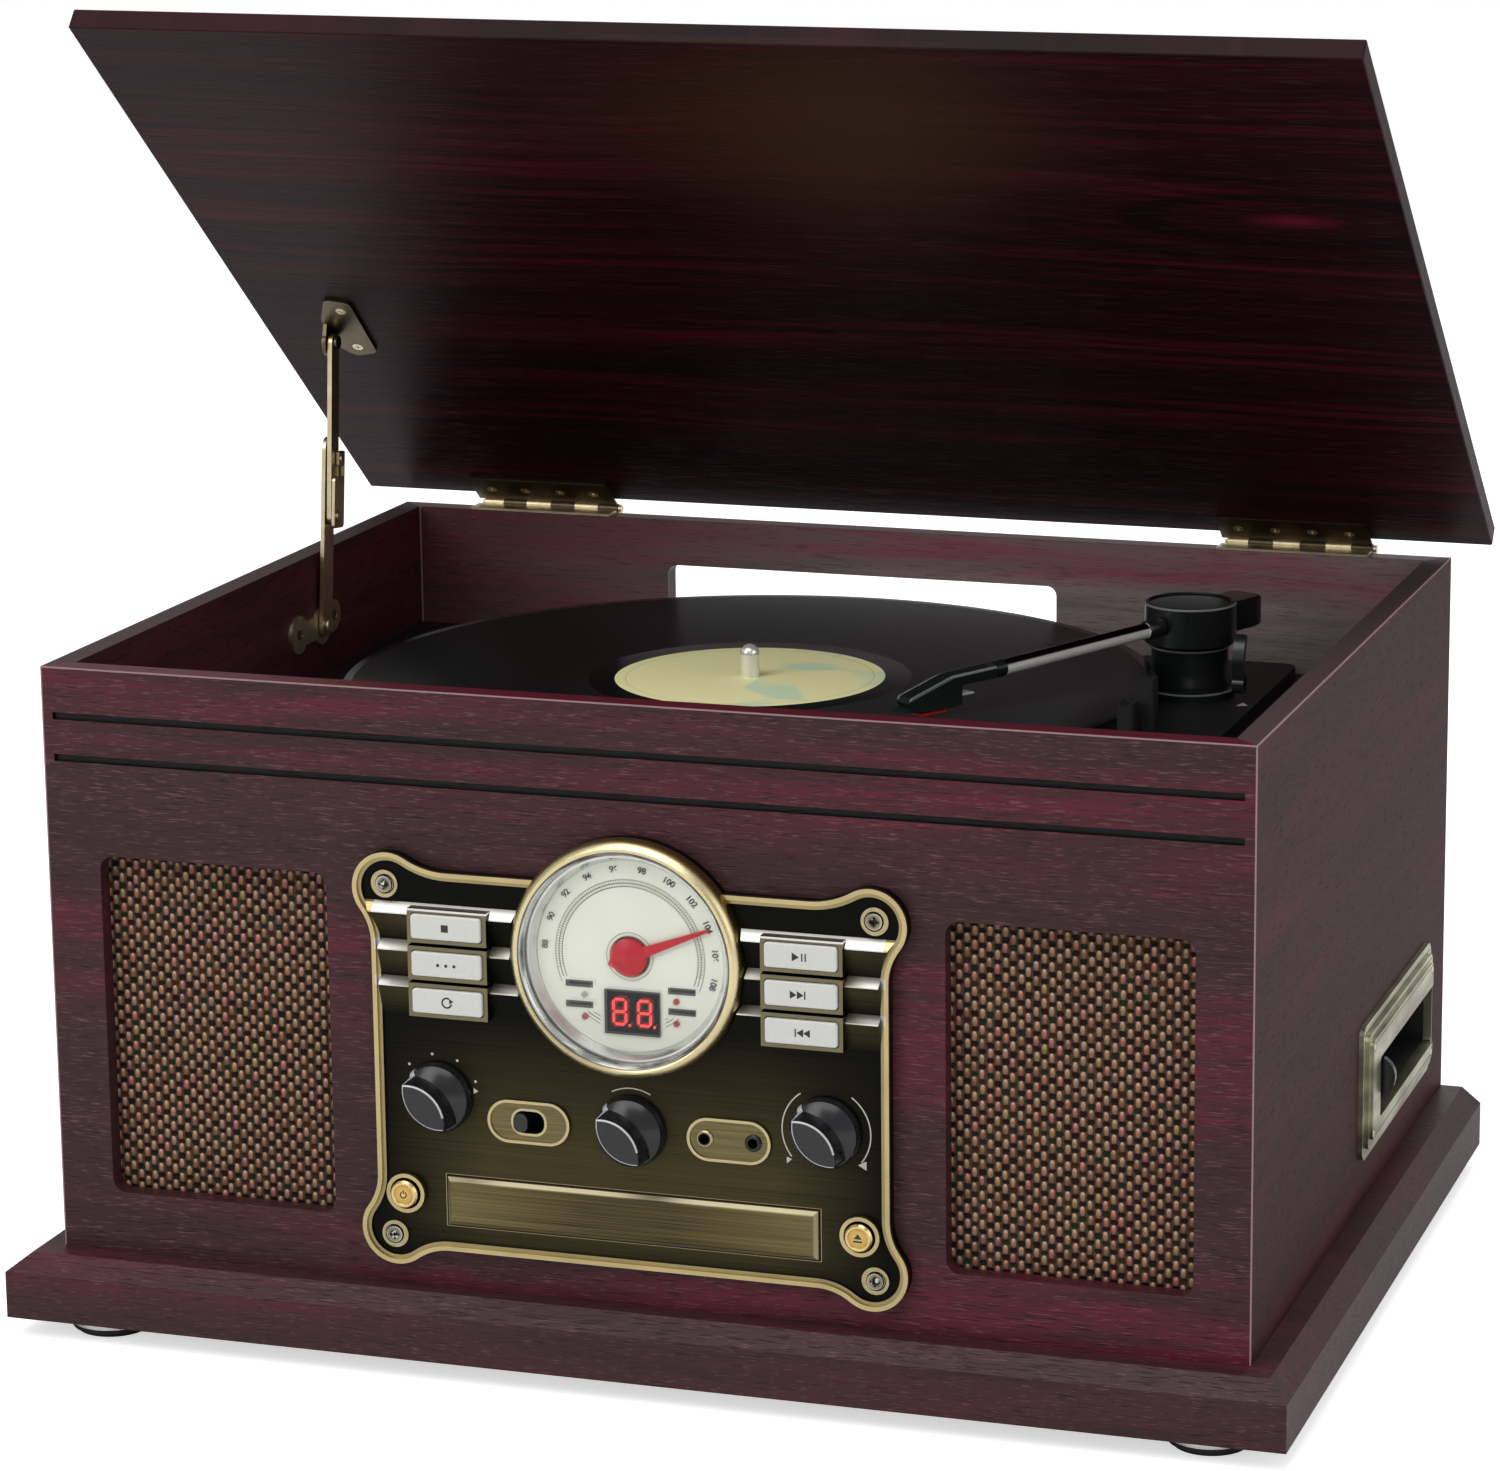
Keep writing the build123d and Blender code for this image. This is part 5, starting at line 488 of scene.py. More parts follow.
# ---- Keys
# Injection-moulded warm white caps with softly rounded edges, slightly glossy. Each carries a small
# black printed sign for its function, and so does each round button.
KEYS = {name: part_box(name) for name in nodes if name.startswith("button_")}
mottled("warm white moulding", (0.60, 0.60, 0.57), (0.66, 0.66, 0.625), (0.26, 0.36), relief=0.00001,
        Specular_IOR_Level=0.5, Coat_Weight=0.15).on(*KEYS)
print_black = mottled("black print", (0.012, 0.012, 0.014), (0.03, 0.03, 0.032), 0.55, (2000, 0, 2000))


def flat_sign(name, y, outlines):
    """Flat shapes facing the front at depth y, one face for each outline of (x, z) corners."""
    first = np.cumsum([0] + [len(outline) for outline in outlines])
    points = [(x, y, z) for outline in outlines for x, z in outline]
    return made(name, points, [list(range(start, stop)) for start, stop in zip(first[:-1], first[1:])])


def ring_point(centre, radius, angle):
    return centre[0] + radius * math.cos(angle), centre[1] + radius * math.sin(angle)


def arc_band(centre, radius, width, start, stop, steps=24):
    """A bent strip: two arcs round the centre, half a width inside and outside the radius, in degrees."""
    angles = np.radians(np.linspace(start, stop, steps + 1))
    low, high = radius - width / 2, radius + width / 2
    return [[ring_point(centre, r, t) for r, t in ((low, b), (high, b), (high, a), (low, a))]
            for a, b in zip(angles[:-1], angles[1:])]


def disc(centre, radius, steps=20):
    """A round dot: one regular polygon."""
    return [[ring_point(centre, radius, t) for t in np.linspace(0, -2 * math.pi, steps, endpoint=False)]]


def bar(x, z, width, tall):
    """An upright rectangle round its centre."""
    left, right, foot, head = x - width / 2, x + width / 2, z - tall / 2, z + tall / 2
    return [[(left, foot), (left, head), (right, head), (right, foot)]]


def arrow(x, z, size, way=1):
    """A solid triangle whose tip points left or right."""
    base = x - way * size / 2
    corners = [(base, z - size * 0.6), (base, z + size * 0.6), (x + way * size / 2, z)]
    return [corners[::way]]


def key_signs(x, z):
    """The sign of each key, by its name."""
    def stroke(shift):
        return bar(x + shift, z, 0.0005, 0.0028)

    turning_arrow = arrow(x + 0.0017, z + 0.0006, 0.0016)
    two_back = arrow(x - 0.0003, z, 0.0024, -1) + arrow(x + 0.0021, z, 0.0024, -1)
    return {
        "button_left_upper": bar(x - 0.0002, z, 0.0026, 0.0026),
        "button_left_middle": [dot for shift in (-0.003, 0.0, 0.003) for dot in disc((x + shift, z), 0.0006)],
        "button_left_lower": arc_band((x, z), 0.0017, 0.0006, 60, 350) + turning_arrow,
        "button_right_upper": arrow(x - 0.0016, z, 0.0026) + stroke(0.0007) + stroke(0.0019),
        "button_right_middle": arrow(x - 0.0025, z, 0.0024) + arrow(x, z, 0.0024) + stroke(0.0016),
        "button_right_lower": stroke(-0.0019) + two_back,
    }


signs = {key: (low.y - 0.00004, key_signs((low.x + high.x) / 2, (low.z + high.z) / 2)[key])
         for key, (low, high) in KEYS.items()}
power_sign = (arc_band((-BUTTON_X, BUTTON_Z), 0.0011, 0.0004, 120, 420)
              + bar(-BUTTON_X, BUTTON_Z + 0.0010, 0.0004, 0.0014))
wedge = [(BUTTON_X + x, BUTTON_Z + z) for x, z in ((-0.0015, -0.0001), (0.0, 0.0017), (0.0015, -0.0001))]
open_sign = [wedge] + bar(BUTTON_X, BUTTON_Z - 0.0010, 0.0030, 0.0006)
signs["power_button"] = (FACE - 0.00464, power_sign)
signs["open_close_button"] = (FACE - 0.00464, open_sign)
for key, (depth, shapes) in signs.items():
    sign = flat_sign(f"sign_{key}", depth, shapes)
    print_black.on(sign)
    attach(sign, nodes[key]["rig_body"])

# ---- Printed marks on the front plate
# Thin pale print round the controls: dots at the selector's stops, two long arcs with arrow heads round
# the volume knob, and a short arc over the tuning knob.
VOLUME, SELECTOR, TUNING = (0.0707, BED + 0.0697), (-0.0705, BED + 0.070), (0.0005, BED + 0.064)
print_pale = mottled("pale print", (0.42, 0.41, 0.36), (0.62, 0.61, 0.55), 0.5, (2500, 0, 2500))
ARROW_HEADS = (((-0.0142, -0.0100), (-0.0124, -0.0107), (-0.0142, -0.0124)),
               ((0.0112, -0.0107), (0.0142, -0.0092), (0.0142, -0.0124)))
marks = arc_band(VOLUME, 0.0158, 0.00045, -38, 55) + arc_band(VOLUME, 0.0158, 0.00045, 125, 218)
marks += [[(VOLUME[0] + x, VOLUME[1] + z) for x, z in head] for head in ARROW_HEADS]
marks += arrow(SELECTOR[0] + 0.0139, SELECTOR[1] + 0.0030, 0.0018)
for angle in (25, 62, 98, 135):
    marks += disc(ring_point(SELECTOR, 0.0152, math.radians(angle)), 0.0005)
marks += arc_band(TUNING, 0.0150, 0.0004, 62, 118)
plate_marks = flat_sign("plate_marks", FACE - 0.00005, marks)
print_pale.on(plate_marks)
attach(plate_marks, "cabinet")

# ---- Knobs and slide switch
# Glossy blue-black mouldings. A lens-shaped grip stands out of each domed cap. Its front edges carry
# painted highlights, and a bright pointer spot sits at its upper left end.
GRIP_ARC, GRIP_ARC_SHIFT = 13.2, 8.06              # radius of a grip's sides, their centres' distance, mm
for knob_name, place in (("selector_knob", SELECTOR), ("tuning_knob", TUNING), ("volume_knob", VOLUME)):
    skin = Finish(f"blue-black moulding, {knob_name}", Specular_IOR_Level=0.5)
    skin.set(Coat_Weight=0.2, Coat_Roughness=0.15)
    dx, dz = (skin.x - place[0]) * 1000.0, (skin.z - place[1]) * 1000.0
    grip_along, grip_side = (dz - dx) * math.sqrt(0.5), (dz + dx) * math.sqrt(0.5)
    front = (FACE - 0.0141 - skin.y).rise(0.0, 0.0002)
    low_edge = grip_along.diagonal(grip_side - GRIP_ARC_SHIFT) - GRIP_ARC
    high_edge = grip_along.diagonal(grip_side + GRIP_ARC_SHIFT) - GRIP_ARC
    low_line = low_edge.line(0.16, 0.42) * (grip_side < 0.0)
    high_line = high_edge.line(0.16, 0.42) * (grip_side > 0.0)
    spot = (grip_along > 10.6) * (abs(grip_side) < 1.1)
    # Painted highlights along the grip's front edges, together with the bright pointer spot.
    edge_highlights_and_pointer = ((low_line + high_line * (dz > -3.0)) * front + spot * 0.8).clip()
    grain = skin.grain(1200, 1200, 1200)
    dark = skin.mix(grain, (0.0065, 0.0072, 0.0085), (0.0085, 0.0095, 0.0115))
    skin.set(Base_Color=skin.mix(edge_highlights_and_pointer, dark, (0.55, 0.56, 0.58)), Roughness=skin.blend(grain, 0.20, 0.32))
    skin.on(knob_name)
mottled("black thumb piece", (0.004, 0.004, 0.004), (0.009, 0.009, 0.009), (0.16, 0.26),
        Specular_IOR_Level=0.6).on("function_switch")

# ---- Dial
# A printed cream card under a domed window: three fine circles with short ticks between them, plain
# numerals outside, and a bright sloping ring round the card. A lens for the digits and four small lamps
# with dark bars sit in its lower half.
CIRCLES, TICK_DEGREES = (24.6, 25.8, 27.0), 2.0    # radii in mm, angle from tick to tick
DISPLAY_SHIFT, DISPLAY_Z = 0.0007, BED + 0.1058
LAMP_X, LAMP_Z, LAMP_RISE = 0.0166, BED + 0.1071, 0.0039
LABEL_X, LABEL_Z, LABEL_RISE = 0.0186, BED + 0.1110, 0.00365
card = Finish("dial card")
from_x, from_z = card.x - DIAL[0], card.z - DIAL[1]
radius = from_x.diagonal(from_z) * 1000.0
in_display = (abs(from_x - DISPLAY_SHIFT) < 0.0118) * (from_z < -0.010)
in_labels = (abs(abs(from_x) - LABEL_X) < 0.0062) * (abs(from_z + 0.0147) < 0.0060)
inner_line, middle_line, outer_line = ((radius - circle).line(0.09, 0.26) for circle in CIRCLES)
circle_lines = (inner_line + middle_line + outer_line * 0.8).clip()
tick = abs((card.bearing(from_x, from_z) * (180 / math.pi / TICK_DEGREES)).part() - 0.5)
ticks = (tick > 0.40) * (radius > CIRCLES[0]) * (radius < CIRCLES[2]) * (from_z > -0.006)
ink = (circle_lines + ticks).clip() * (1.0 - (in_display + in_labels).clip()) * 0.9
ink = (ink + (radius - 8.4).line(0.08, 0.25) * 0.7 + (1.0 - radius.rise(7.1, 7.5))).clip()
lens = (abs(from_x - DISPLAY_SHIFT) < 0.01005) * (abs(card.z - DISPLAY_Z) < 0.00785)
lamps = (abs(from_x) - LAMP_X).diagonal(abs(card.z - LAMP_Z) - LAMP_RISE) < 0.00115
labels = (abs(abs(from_x) - LABEL_X) < 0.0050) * (abs(abs(card.z - LABEL_Z) - LABEL_RISE) < 0.0012)
pale_lamp = (from_x < 0.0) * (card.z > LAMP_Z)
card_colour = card.mix(card.grain(40, 0, 40), (0.78, 0.80, 0.68), (0.86, 0.89, 0.77))
# Painted shade: the card darkens towards the bottom.
card_colour = card.mix((from_z * -1.0).rise(0.002, 0.030) * 0.35, card_colour, (0.45, 0.47, 0.40))
card_colour = card.mix(ink, card_colour, (0.040, 0.042, 0.036))
card_colour = card.mix(labels, card_colour, (0.022, 0.022, 0.020))
card_colour = card.mix(lamps, card_colour, card.mix(pale_lamp, (0.34, 0.035, 0.04), (0.34, 0.34, 0.32)))
card_colour = card.mix(lens, card_colour, (0.006, 0.006, 0.007))
slope = radius > 33.75
card.set(Base_Color=card.mix(slope, card_colour, (0.72, 0.74, 0.72)), Metallic=slope * 0.9,
         Roughness=card.blend(slope, 0.5, 0.2))
card.on("dial_face")

NUMBERS = ("88", "90", "92", "94", "96", "98", "100", "102", "104", "106", "108")
numerals = []
for number, angle in zip(NUMBERS, np.radians(np.linspace(176, -14, len(NUMBERS)))):
    text = bpy.data.curves.new("numeral", "FONT")
    text.offset = 0.00010
    text.body, text.size, text.align_x, text.align_y = number, 0.0031, "CENTER", "CENTER"
    letter = bpy.data.objects.new("numeral", text)
    scene.collection.objects.link(letter)
    bpy.context.view_layer.update()
    shape = bpy.data.meshes.new_from_object(letter)
    bpy.data.objects.remove(letter)
    across, up = ring_point(DIAL, 0.0308, angle)
    shape.transform(Matrix.Translation((across, FRONT - 0.00245, up))
                    @ Matrix.Rotation(math.pi / 2 - angle, 4, "Y") @ Matrix.Rotation(math.pi / 2, 4, "X"))
    numerals.append(shape)
starts = np.cumsum([0] + [len(shape.vertices) for shape in numerals]).tolist()
dial_numerals = made("dial_numerals", [(*vertex.co,) for shape in numerals for vertex in shape.vertices],
                     [[start + index for index in face.vertices]
                      for start, shape in zip(starts, numerals) for face in shape.polygons])
mottled("grey print", (0.008, 0.008, 0.007), (0.022, 0.022, 0.020), 0.55, (900, 0, 900)).on(dial_numerals)
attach(dial_numerals, "cabinet")

# ---- Digits
# Two seven-segment light-emitting digits behind the dark lens, all segments lit in red, each with a
# small lit point at its foot.
SEGMENT, HALF_DIGIT = 0.0040, 0.0022


def segment(x, z, upright):
    """A six-sided bar with pointed ends."""
    half, thick = SEGMENT / 2, 0.00048
    ends = [(-half, 0), (-half + thick, thick), (half - thick, thick), (half, 0), (half - thick, -thick),
            (-half + thick, -thick)]
    return [[(x + b, z + a) for a, b in ends[::-1]] if upright else [(x + a, z + b) for a, b in ends]]


digit_shapes = []
for centre_x, centre_z in ((DIAL[0] - 0.0037, BED + 0.1061), (DIAL[0] + 0.0053, BED + 0.1061)):
    for dz in (-2 * HALF_DIGIT, 0.0, 2 * HALF_DIGIT):
        digit_shapes += segment(centre_x, centre_z + dz, False)
    for dx in (-HALF_DIGIT, HALF_DIGIT):
        for dz in (-HALF_DIGIT, HALF_DIGIT):
            digit_shapes += segment(centre_x + dx, centre_z + dz, True)
    digit_shapes += disc((centre_x + 0.0036, centre_z - 0.0046), 0.0005)
digits = flat_sign("display_digits", FRONT - 0.00325, digit_shapes)
red_light = Finish("lit red segments", Base_Color=(0.55, 0.02, 0.02), Roughness=0.4, Emission_Strength=1.1)
red_glow = red_light.grain(700, 0, 700)
red_light.set(Emission_Color=red_light.mix(red_glow, (0.95, 0.03, 0.03), (1.0, 0.16, 0.14)))
red_light.on(digits)
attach(digits, "cabinet")

# ---- Pointer and window
# A red moulded needle on a round hub turns over the card, under a clear domed window.
mottled("red needle", (0.42, 0.008, 0.016), (0.58, 0.018, 0.028), (0.3, 0.4), (300, 300, 300),
        Specular_IOR_Level=0.5).on("dial_pointer")
clear = Finish("clear window", Base_Color=(1, 1, 1), Roughness=0.04, Transmission_Weight=1.0, IOR=1.3)
see_through = clear.node("ShaderNodeBsdfTransparent")
thin = clear.node("ShaderNodeMixShader", None, 0.12, see_through.outputs[0], clear.shader.outputs[0])
clear.tree.links.new(thin.outputs[0], clear.tree.nodes["Material Output"].inputs[0])
clear.on("dial_glass")

# ---- Speaker cloth
# Coarse furnishing cloth stretched over a board: upright pill-shaped stitches of tan, rose and brown,
# each column half a stitch off its neighbour, over a dark ground. Each stitch carries a painted highlight
# on its upper middle and painted shade towards its foot.
PITCH, STITCH, STANDING = 0.0027, 0.0053, 0.0006   # column to column, stitch to stitch, height of a stitch
OPENING_X, OPENING_Z, HALF_CLOTH, TALL_CLOTH = 0.155, BED + 0.08425, 0.0466, 0.0654
COLUMNS, ROWS = 240, 300                           # points of the mesh across and up
cloth = Finish("speaker cloth", Specular_IOR_Level=0.2, Roughness=0.85)
column = (cloth.x / PITCH).floor()
row = cloth.z / STITCH + (column / 2.0).part()
which = cloth.chance(column, row.floor())
along = row.part() * 2.0 - 1.0 + (cloth.chance(column, row.floor(), 7.0) - 0.5) * 0.22
across = (cloth.x / PITCH).part() * 2.0 - 1.0 + (cloth.chance(column, row.floor(), 9.0) - 0.5) * 0.34
slimming = 0.70 + along * 0.10
on_stitch = (1.0 - (abs(across) / slimming) ** 2.0 - (abs(along) / 0.68) ** 3.0).rise(0.0, 0.4)
in_hole = 1.0 - (across * across * 0.62 + ((1.0 - abs(along)) / 0.46) ** 2.0).rise(0.55, 1.0)
strand = cloth.grain(1800, 0, 1100, 2, 0.6)
thread = cloth.mix(which.rise(0.50, 0.56), (0.41, 0.235, 0.145), (0.27, 0.133, 0.078))
thread = cloth.mix(which.rise(0.79, 0.81), thread, (0.46, 0.15, 0.12))
thread = cloth.mix(which.rise(0.94, 0.95), thread, (0.37, 0.24, 0.10))
# Painted highlight: a pale patch on the upper middle of each stitch.
thread = cloth.mix(along.rise(0.05, 0.5) * across.line(0.1, 0.55) * 0.6, thread, (0.74, 0.54, 0.40))
thread = cloth.mix((1.0 - strand.rise(0.3, 0.62)) * 0.5, thread, (0.055, 0.024, 0.014))
# Painted shade: each stitch darkens towards its foot.
thread = cloth.mix((0.35 - along * 0.75).clip() * 0.75, thread, (0.070, 0.031, 0.019))
weft = cloth.mix(strand, (0.022, 0.011, 0.007), (0.120, 0.066, 0.040))
tinted = cloth.chance(column, (row + 0.5).floor(), 3.0)
hole = cloth.mix(tinted > 0.91, (0.008, 0.014, 0.006), (0.030, 0.012, 0.004))
hole = cloth.mix(tinted > 0.74, (0.008, 0.0032, 0.002), hole)
cloth.set(Base_Color=cloth.mix(on_stitch, cloth.mix(in_hole, weft, hole), thread))
cloth.bump(strand, 0.00010)


def woven(name, middle_x):
    """A flat grid whose stitches stand up by a half round across and by a flat-topped curve along, where
    across and along run from -1 to 1 over each stitch."""
    grid_x, grid_z = np.meshgrid(np.linspace(-HALF_CLOTH, HALF_CLOTH, COLUMNS) + middle_x,
                                 np.linspace(-TALL_CLOTH, TALL_CLOTH, ROWS) + OPENING_Z)
    columns = np.floor(grid_x / PITCH)
    across = 2 * (grid_x / PITCH - columns) - 1
    rows = grid_z / STITCH + (columns / 2) % 1
    along = 2 * (rows - np.floor(rows)) - 1
    profile = np.clip(1 - (across / 0.9) ** 2, 0, 1) ** 0.5 * np.clip(1 - (along / 0.85) ** 4, 0, 1)
    points = np.stack([grid_x, FRONT + 0.0073 - STANDING * profile, grid_z], -1).reshape(-1, 3)
    first = np.arange(ROWS - 1)[:, None] * COLUMNS + np.arange(COLUMNS - 1)[None, :]
    quads = np.stack([first, first + 1, first + COLUMNS + 1, first + COLUMNS], -1).reshape(-1, 4)
    return made(name, points, quads)


for side, centre_x in (("left", -OPENING_X), ("right", OPENING_X)):
    sheet = woven(f"speaker_cloth_{side}", centre_x)
    cloth.on(sheet)
    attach(sheet, "cabinet")
    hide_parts("speaker_cloths")

# ---- Record
# Pressed black vinyl: fine grooves in bands, a smooth run-out by the pale paper label, and smooth
# gaps between the tracks.
SPINDLE = (-0.0124, FRONT + 0.1633)
LABEL_EDGE, FIRST_GROOVE, LAST_GROOVE, GROOVE_PITCH = 50.0, 146.75, 59.75, 0.55    # mm
vinyl = Finish("black vinyl and paper label", Specular_IOR_Level=0.3)
record_x, record_y = vinyl.x - SPINDLE[0], vinyl.y - SPINDLE[1]
spin_radius = record_x.diagonal(record_y) * 1000.0
grooves = (spin_radius * (2 * math.pi / GROOVE_PITCH)).sine()
bands = vinyl.noise(vinyl.vector(spin_radius * 0.35, 0.0, 0.0))
past_last, past_first = ((spin_radius - groove).rise(-0.25, 0.25) for groove in (LAST_GROOVE, FIRST_GROOVE))
in_grooves = past_last * (1.0 - past_first)
on_label = 1.0 - (spin_radius - LABEL_EDGE).rise(-0.1, 0.1)
blotch = vinyl.noise(vinyl.vector(vinyl.x * 26 + 4.0, vinyl.y * 30, 0.0), 1, 0.4)
green = blotch.rise(0.50, 0.56) * (record_x > 0.004)
label_colour = vinyl.mix(green * 0.75, (1.0, 0.95, 0.51), (0.62, 0.84, 0.62))
label_colour = vinyl.mix((spin_radius - 46.0).line(0.1, 0.3) * 0.4, label_colour, (0.30, 0.27, 0.15))
black = vinyl.mix(bands, (0.0022, 0.0034, 0.0035), (0.0050, 0.0066, 0.0069))
vinyl.set(Base_Color=vinyl.mix(on_label, black, label_colour),
          Roughness=vinyl.blend(on_label, vinyl.blend(in_grooves, 0.14, 0.30) + bands * 0.06, 0.6))
vinyl.bump(grooves * in_grooves * (1.0 - on_label), 0.00003)
vinyl.on("record")

# ---- Tonearm
# A drawn tube, painted bright with a highlight stripe over its lower half and dark above as painted
# reflection, between a glossy black turret and a thin black head, which holds a cartridge with a red stylus
# grip. The turret stands on a stepped black tower, with painted highlight lines round the turret's rim and
# the tower's edges.
ARM_PIVOT = np.array([0.133, FRONT + 0.252, BED + 0.199])
HEAD = (0.08598, FRONT + 0.14639)                  # where the head joins the tube
ARM_TURN, HEAD_TURN, UP = math.radians(24), math.radians(32), (0, 0, 1)
along_arm = np.array([-math.sin(ARM_TURN), -math.cos(ARM_TURN), 0.0])
across_arm = np.array([math.cos(ARM_TURN), -math.sin(ARM_TURN), 0.0])
gloss = Finish("gloss black moulding", Specular_IOR_Level=0.6)
over_arm = (gloss.z - ARM_PIVOT[2]) * 1000.0
arm_radius = (gloss.x - ARM_PIVOT[0]).diagonal(gloss.y - ARM_PIVOT[1]) * 1000.0
# Painted highlights: bright lines round the turret cap's rim, the tower's foot flange and the tower's top
# edge.
HIGHLIGHT_LINES = ((6.75, 0.36, 16.4), (-25.95, 0.28, 15.8), (-9.8, 0.35, 14.5))    # height, half width, radius
top_highlight, foot_highlight, middle_highlight = ((abs(over_arm - place) < half) * (arm_radius > inner)
                                    for place, half, inner in HIGHLIGHT_LINES)
rings = (top_highlight + foot_highlight + middle_highlight) * (arm_radius < 18.0)
head_x, head_y = gloss.x - HEAD[0], gloss.y - HEAD[1]
head_along = (head_x * -math.sin(HEAD_TURN) + head_y * -math.cos(HEAD_TURN)) * 1000.0
head_across = abs(head_x * math.cos(HEAD_TURN) - head_y * math.sin(HEAD_TURN)) * 1000.0
head_top = 201.2 - head_along * 0.028 - (head_along - 22.0).most(0.0) * 0.244
head_line = (head_across > 2.95) * ((gloss.z - BED) * 1000.0 - head_top > -0.85)
head_line = head_line * (head_along > 1.0) * (head_along < 60.0)
pins = (head_along > 10.5) * (head_along < 17.4) * (head_across < 3.2) * (gloss.z < BED + 0.1945)
bright = rings + (head_line + pins * 3.0) * (gloss.z > BED + 0.18)
gloss_grain = gloss.grain(700, 700, 700)
gloss_black = gloss.mix(gloss_grain, (0.0085, 0.0105, 0.0105), (0.0110, 0.0140, 0.0140))
gloss.set(Base_Color=gloss.mix((bright * 0.4).clip(), gloss_black, (0.45, 0.47, 0.47)),
          Roughness=gloss.blend(gloss_grain, 0.20, 0.24))
gloss.on("headshell", "cue_lever", "cassette_lever")


def ringed(name, rings, base, along, side, squareness=1.0, steps=64):
    """Rings stacked along an axis: each is (height, half width, half depth), or (height, radius). A ring is a
    circle whose cosine and sine are raised to the power of squareness, so a power below 1 pushes its corners
    out."""
    turn = np.linspace(0, 2 * math.pi, steps, endpoint=False)
    cosine, sine = (np.sign(wave) * np.abs(wave) ** squareness for wave in (np.cos(turn), np.sin(turn)))
    full = [(*ring, ring[-1])[:3] for ring in rings]
    height, wide, deep = (np.array(column)[:, None, None] for column in zip(*full))
    points = (base + height * np.asarray(along, float) + wide * cosine[:, None] * np.asarray(side, float)
              + deep * sine[:, None] * np.cross(along, side))
    start, here = np.arange(len(rings) - 1)[:, None] * steps, np.arange(steps)[None, :]
    ahead = (here + 1) % steps
    corners = [start + here, start + ahead, start + steps + ahead, start + steps + here]
    quads = np.stack(corners, -1).reshape(-1, 4)
    last = (len(rings) - 1) * steps
    ends = [list(range(steps))[::-1], list(range(last, last + steps))]
    piece = made(name, points.reshape(-1, 3), quads.tolist() + ends)
    piece.data.shade_smooth()
    piece.data.set_sharp_from_angle(angle=0.6)
    return piece


tower = ringed("arm_tower", [(-0.029, 0.0170), (-0.0262, 0.0170), (-0.0257, 0.0165), (-0.0250, 0.0156),
                             (-0.0232, 0.0156), (-0.0208, 0.0146), (-0.0110, 0.0146), (-0.0100, 0.0150),
                             (-0.0092, 0.0150)], ARM_PIVOT, UP, (1, 0, 0))
cap = ringed("arm_cap", [(-0.0086, 0.0164), (-0.0078, 0.0175), (0.0064, 0.0175), (0.0071, 0.0170),
                         (0.0072, 0.0162), (0.0066, 0.0158)], ARM_PIVOT, UP, (1, 0, 0))
block = ringed("arm_block", [(-0.0068, 0.0070, 0.0105), (-0.0060, 0.0078, 0.0113), (0.0040, 0.0078, 0.0113),
                             (0.0048, 0.0070, 0.0105)], ARM_PIVOT - along_arm * 0.0255, UP, across_arm, 0.4)
gloss.on(tower, cap, block)
for piece, body, node in ((tower, "cabinet", "tonearm_base"), (cap, "arm_turret", "tonearm_turret"),
                          (block, "arm_turret", "tonearm_turret")):
    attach(piece, body)
    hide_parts(node)

TUBE, SLEEVE, SLEEVE_END = 0.0029, 0.0036, 0.0275  # radii of tube and sleeve, and how far the sleeve reaches
arm = Finish("bright tube and black knuckle")
reach = (ARM_PIVOT[0] - arm.x) * math.sin(ARM_TURN) + (ARM_PIVOT[1] - arm.y) * math.cos(ARM_TURN)
polished = reach > SLEEVE_END
tube_height = (arm.z - ARM_PIVOT[2]) / TUBE
# Painted highlight: a white stripe over the tube's lower half. Above it and along its very bottom the tube is
# painted dark, as painted reflection.
painted_tube_highlight = tube_height.rise(-1.1, -0.85) * (1.0 - tube_height.rise(0.15, 0.55))
tube_colour = arm.mix(painted_tube_highlight, (0.11, 0.10, 0.095), (0.97, 0.96, 0.93))
arm.set(Base_Color=arm.mix(polished, (0.012, 0.013, 0.014), tube_colour),
        Metallic=polished * (1.0 - painted_tube_highlight * 0.8),
        Roughness=arm.blend(polished, 0.3, 0.16) + arm.grain(900, 60, 900) * 0.05)
tube = ringed("arm_tube", [(0.0182, 0.0032), (0.0188, SLEEVE), (0.0268, SLEEVE), (0.0274, 0.0033),
                           (0.0276, TUBE), (0.1108, TUBE)], ARM_PIVOT, along_arm, UP)
arm.on(tube)
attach(tube, "arm_wand")
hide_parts("tonearm_tube")
mottled("red stylus grip", (0.55, 0.010, 0.008), (0.75, 0.03, 0.02), 0.35,
        Specular_IOR_Level=0.5).on("stylus")

# ---- Deck, platter and arm rest
# Black moulded plastic with a fine spark texture, and one small printed triangle by the arm. The platter
# is turned metal with a bright spindle, covered by a felt mat.
MOULDED = ("deck_plate", "arm_rest", "speed_switch", "speaker_drivers", "rear_sockets", "cassette_mechanism",
           "disc_tray")
mottled("textured black moulding", (0.008, 0.008, 0.008), (0.018, 0.018, 0.018), (0.42, 0.6),
        (1500, 1500, 1500, 2, 0.6), relief=0.00003, Specular_IOR_Level=0.4).on(*MOULDED)
PANEL_TOP = DECK + 0.00505
deck_mark = made("deck_mark", [(0.1545, FRONT + 0.2370, PANEL_TOP), (0.1590, FRONT + 0.2385, PANEL_TOP),
                               (0.1560, FRONT + 0.2430, PANEL_TOP)], [(0, 1, 2)])
print_pale.on(deck_mark)
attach(deck_mark, "cabinet")

